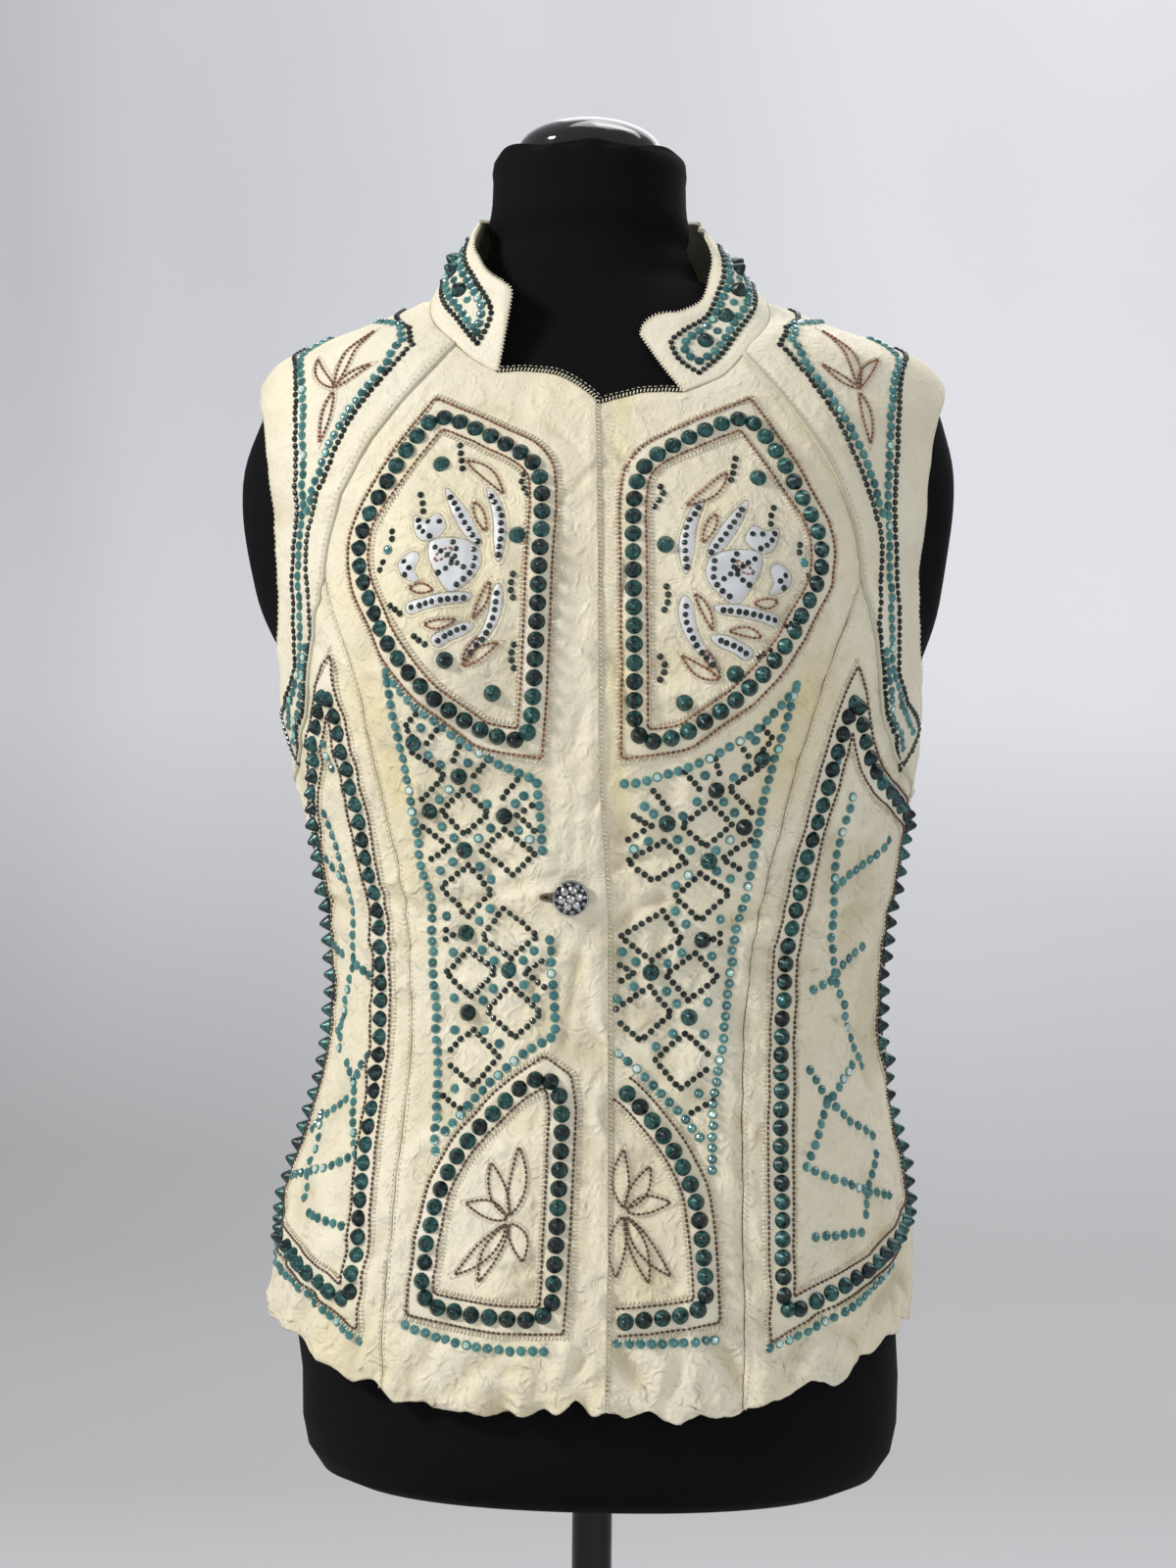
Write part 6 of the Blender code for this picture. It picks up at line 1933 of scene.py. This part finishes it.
def fine_form():
    """The form's own rings with many more points, and a stitched cover at its neck."""
    turns = np.linspace(0, 360, 180, endpoint=False)
    rings = [oval_ring(turns, FORM_FOOT_SHIFT, z, wide, deep, deep) for z, wide, deep in FORM_FOOT]
    last, first_ring = rings[-1], form_ring(turns, FORM_BOTTOM)
    rings += [last * (1 - share) + first_ring * share for share in (0.25, 0.5, 0.75)]
    rings += [form_ring(turns, z) for z in (*np.arange(FORM_BOTTOM, FORM_TOP, FORM_STEP), FORM_TOP)]
    necks = [oval_ring(turns, FORM_NECK_SHIFT, *row) for row in FORM_NECK]
    previous = rings[-1]
    for neck in necks:
        for share in (0.34, 0.67, 1.0):
            rings.append(previous * (1 - share) + neck * share)
        previous = neck
    where = np.array(rings)
    radial = where.copy()
    radial[..., 2] = 0
    radial = unit(radial)
    z = where[..., 2]
    ang = np.radians(turns)[None, :]
    seam = -0.0010 * bell(z - 0.9160 - 0.0012 * np.sin(2 * ang), 0.0009)
    roll = 0.0010 * bell(z - 0.9205, 0.0028)
    fold = -0.0022 * bell(z - 0.8780 - 0.004 * np.cos(ang), 0.0055) * (z > 0.86)
    fold = fold + 0.0016 * bell(z - 0.8890 - 0.004 * np.cos(ang), 0.0065)
    ruffle = 0.0012 * np.sin(11 * ang + 2 * np.sin(3 * ang)) * bell(z - 0.9275, 0.003)
    where = where + radial * (seam + roll + fold + ruffle)[..., None]
    where[..., 2] += 0.0012 * np.sin(7 * ang + 1) * bell(z - 0.9285, 0.002)
    count = len(turns)
    faces = grid_faces(len(rings), count)
    points = np.concatenate([where.reshape(-1, 3), [rings[0].mean(axis=0),
                                                    where[-1].mean(axis=0)]])
    top = (len(rings) - 1) * count
    for k in range(count):
        faces.append(((k + 1) % count, k, len(points) - 2))
        faces.append((top + k, top + (k + 1) % count, len(points) - 1))
    made = mesh_object("jersey_form", points, faces, "jersey")
    made.data.set_sharp_from_angle(angle=radians(50))
    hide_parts("form_torso")


fine_form()


def turned_piece(name, profile, sides, look, node, shift=(0.0, 0.0)):
    points, faces = lathe(profile, sides)
    points = points + np.array([*shift, 0.0])
    made = mesh_object(name, points, faces, look)
    made.data.set_sharp_from_angle(angle=radians(42))
    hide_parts(node)


seat = FORM_NECK[-1][0] + SEAM_GAP
dome = [(CAP_RADIUS * sin(a), seat + CAP_HEIGHT * (0.15 + 0.85 * cos(a)))
        for a in np.linspace(pi / 2, 0, 24)]
turned_piece("gloss_cap", [(0.0, seat), (CAP_RADIUS, seat)] + dome, 72, "cap", "form_neck_cap",
             CAP_CENTRE)
low, high = BOSS_HEIGHT + SEAM_GAP, FORM_FOOT[0][0] - SEAM_GAP
turned_piece("turned_pole", [(0.0, low), (POLE_RADIUS, low), (POLE_RADIUS, high), (0.0, high)],
             40, "metal", "stand_pole")
turned_piece("turned_base", [
    (0.0, 0.0), (BASE_RADIUS - 0.002, 0.0), (BASE_RADIUS, 0.002), (BASE_RADIUS, BASE_EDGE - 0.003),
    (BASE_RADIUS - 0.0015, BASE_EDGE - 0.0008), (BASE_RADIUS - 0.006, BASE_EDGE),
    (BOSS_RADIUS + 0.006, BASE_RISE), (BOSS_RADIUS + 0.001, BASE_RISE + 0.002),
    (BOSS_RADIUS, BASE_RISE + 0.004), (BOSS_RADIUS, BOSS_HEIGHT - 0.002),
    (BOSS_RADIUS - 0.002, BOSS_HEIGHT), (0.0, BOSS_HEIGHT)], 120, "metal", "stand_base")


# Floor and backdrop in one sweep of pale cloth, and soft light

def sweep():
    xs = np.linspace(-4.5, 4.5, 120)
    rows = [(-4.0, 0.0), (-1.0, 0.0), (1.0, 0.0), (2.0, 0.0)]
    rows += [(2.0 + 1.6 * sin(a), 1.6 - 1.6 * cos(a)) for a in np.linspace(0.1, pi / 2, 16)]
    rows += [(3.6, z) for z in (2.2, 3.0, 4.0, 5.0)]
    points = []
    for y, z in rows:
        share = min(max((y - 1.4) / 1.6, 0), 1)
        fold = (0.030 * np.sin(xs * 4.1 + 0.8 * np.sin(xs * 1.7)) + 0.012 * np.sin(xs * 11 + z)
                + 0.005 * np.sin(xs * 19 + 3 * z))
        for x, f in zip(xs, fold * share):
            points.append((x, y - f, z))
    mesh = bpy.data.meshes.new("backdrop")
    mesh.from_pydata(points, [], grid_faces(len(rows), len(xs), closed=False))
    mesh.shade_smooth()
    def part(value):
        return min(max(value, 0), 1)

    # Painted shade: darker low on the sweep and on the floor behind the stand, and a little towards
    # -X, the left of the picture.
    shade = [part((0.75 - z) / 0.75) * part((y + 1.0) / 2.0) + 0.11 * part((0.3 - x) / 1.2)
             for x, y, z in points]
    layer = mesh.attributes.new("shade", "FLOAT", "POINT")
    layer.data.foreach_set("value", shade)
    look = Look("backdrop_cloth")
    cloud = look.ramp(look.noise(0.9), 0.3, 0.7)
    colour = look.mix(cloud, (0.735, 0.745, 0.785), (0.765, 0.775, 0.805))
    # The painted shade mixes the cloth towards a dark grey.
    colour = look.mix(look.fact("shade"), colour, (0.40, 0.40, 0.41))
    mesh.materials.append(look.surface(Base_Color=colour, Roughness=0.95, Specular_IOR_Level=0.1))
    made = bpy.data.objects.new("backdrop", mesh)
    bpy.context.scene.collection.objects.link(made)


sweep()
world = bpy.data.worlds.new("studio")
world.use_nodes = True
world.node_tree.nodes["Background"].inputs["Color"].default_value = (0.88, 0.90, 0.93, 1.0)
world.node_tree.nodes["Background"].inputs["Strength"].default_value = 0.38
bpy.context.scene.world = world
bpy.context.scene.view_settings.view_transform = "Standard"
LIGHTS = (
    ("key", (-2.2, -1.2, 2.0), (0.0, 0.0, 0.6), 0.5, 58.0, (1.0, 0.985, 0.955)),
    ("fill", (1.6, -2.6, 0.9), (0.0, 0.0, 0.6), 1.4, 17.5, (0.97, 0.98, 1.0)),
    ("top", (0.3, 0.7, 2.8), (0.0, 0.0, 0.6), 1.4, 14.0, (1.0, 1.0, 1.0)),
    ("back", (0.6, 2.1, 1.9), (0.0, 0.0, 0.6), 2.0, 12.0, (1.0, 1.0, 1.0)),
    ("wash", (1.2, 1.2, 3.4), (0.8, 3.6, 1.2), 2.4, 60.0, (1.0, 0.99, 0.98)),
)
for name, spot, aim, size, power, colour in LIGHTS:
    data = bpy.data.lights.new(name, "AREA")
    data.shape = "SQUARE"
    data.size, data.energy, data.color = size, power, colour
    lamp = bpy.data.objects.new(name, data)
    bpy.context.scene.collection.objects.link(lamp)
    lamp.location = spot
    lamp.rotation_euler = (Vector(aim) - Vector(spot)).to_track_quat("-Z", "Y").to_euler()
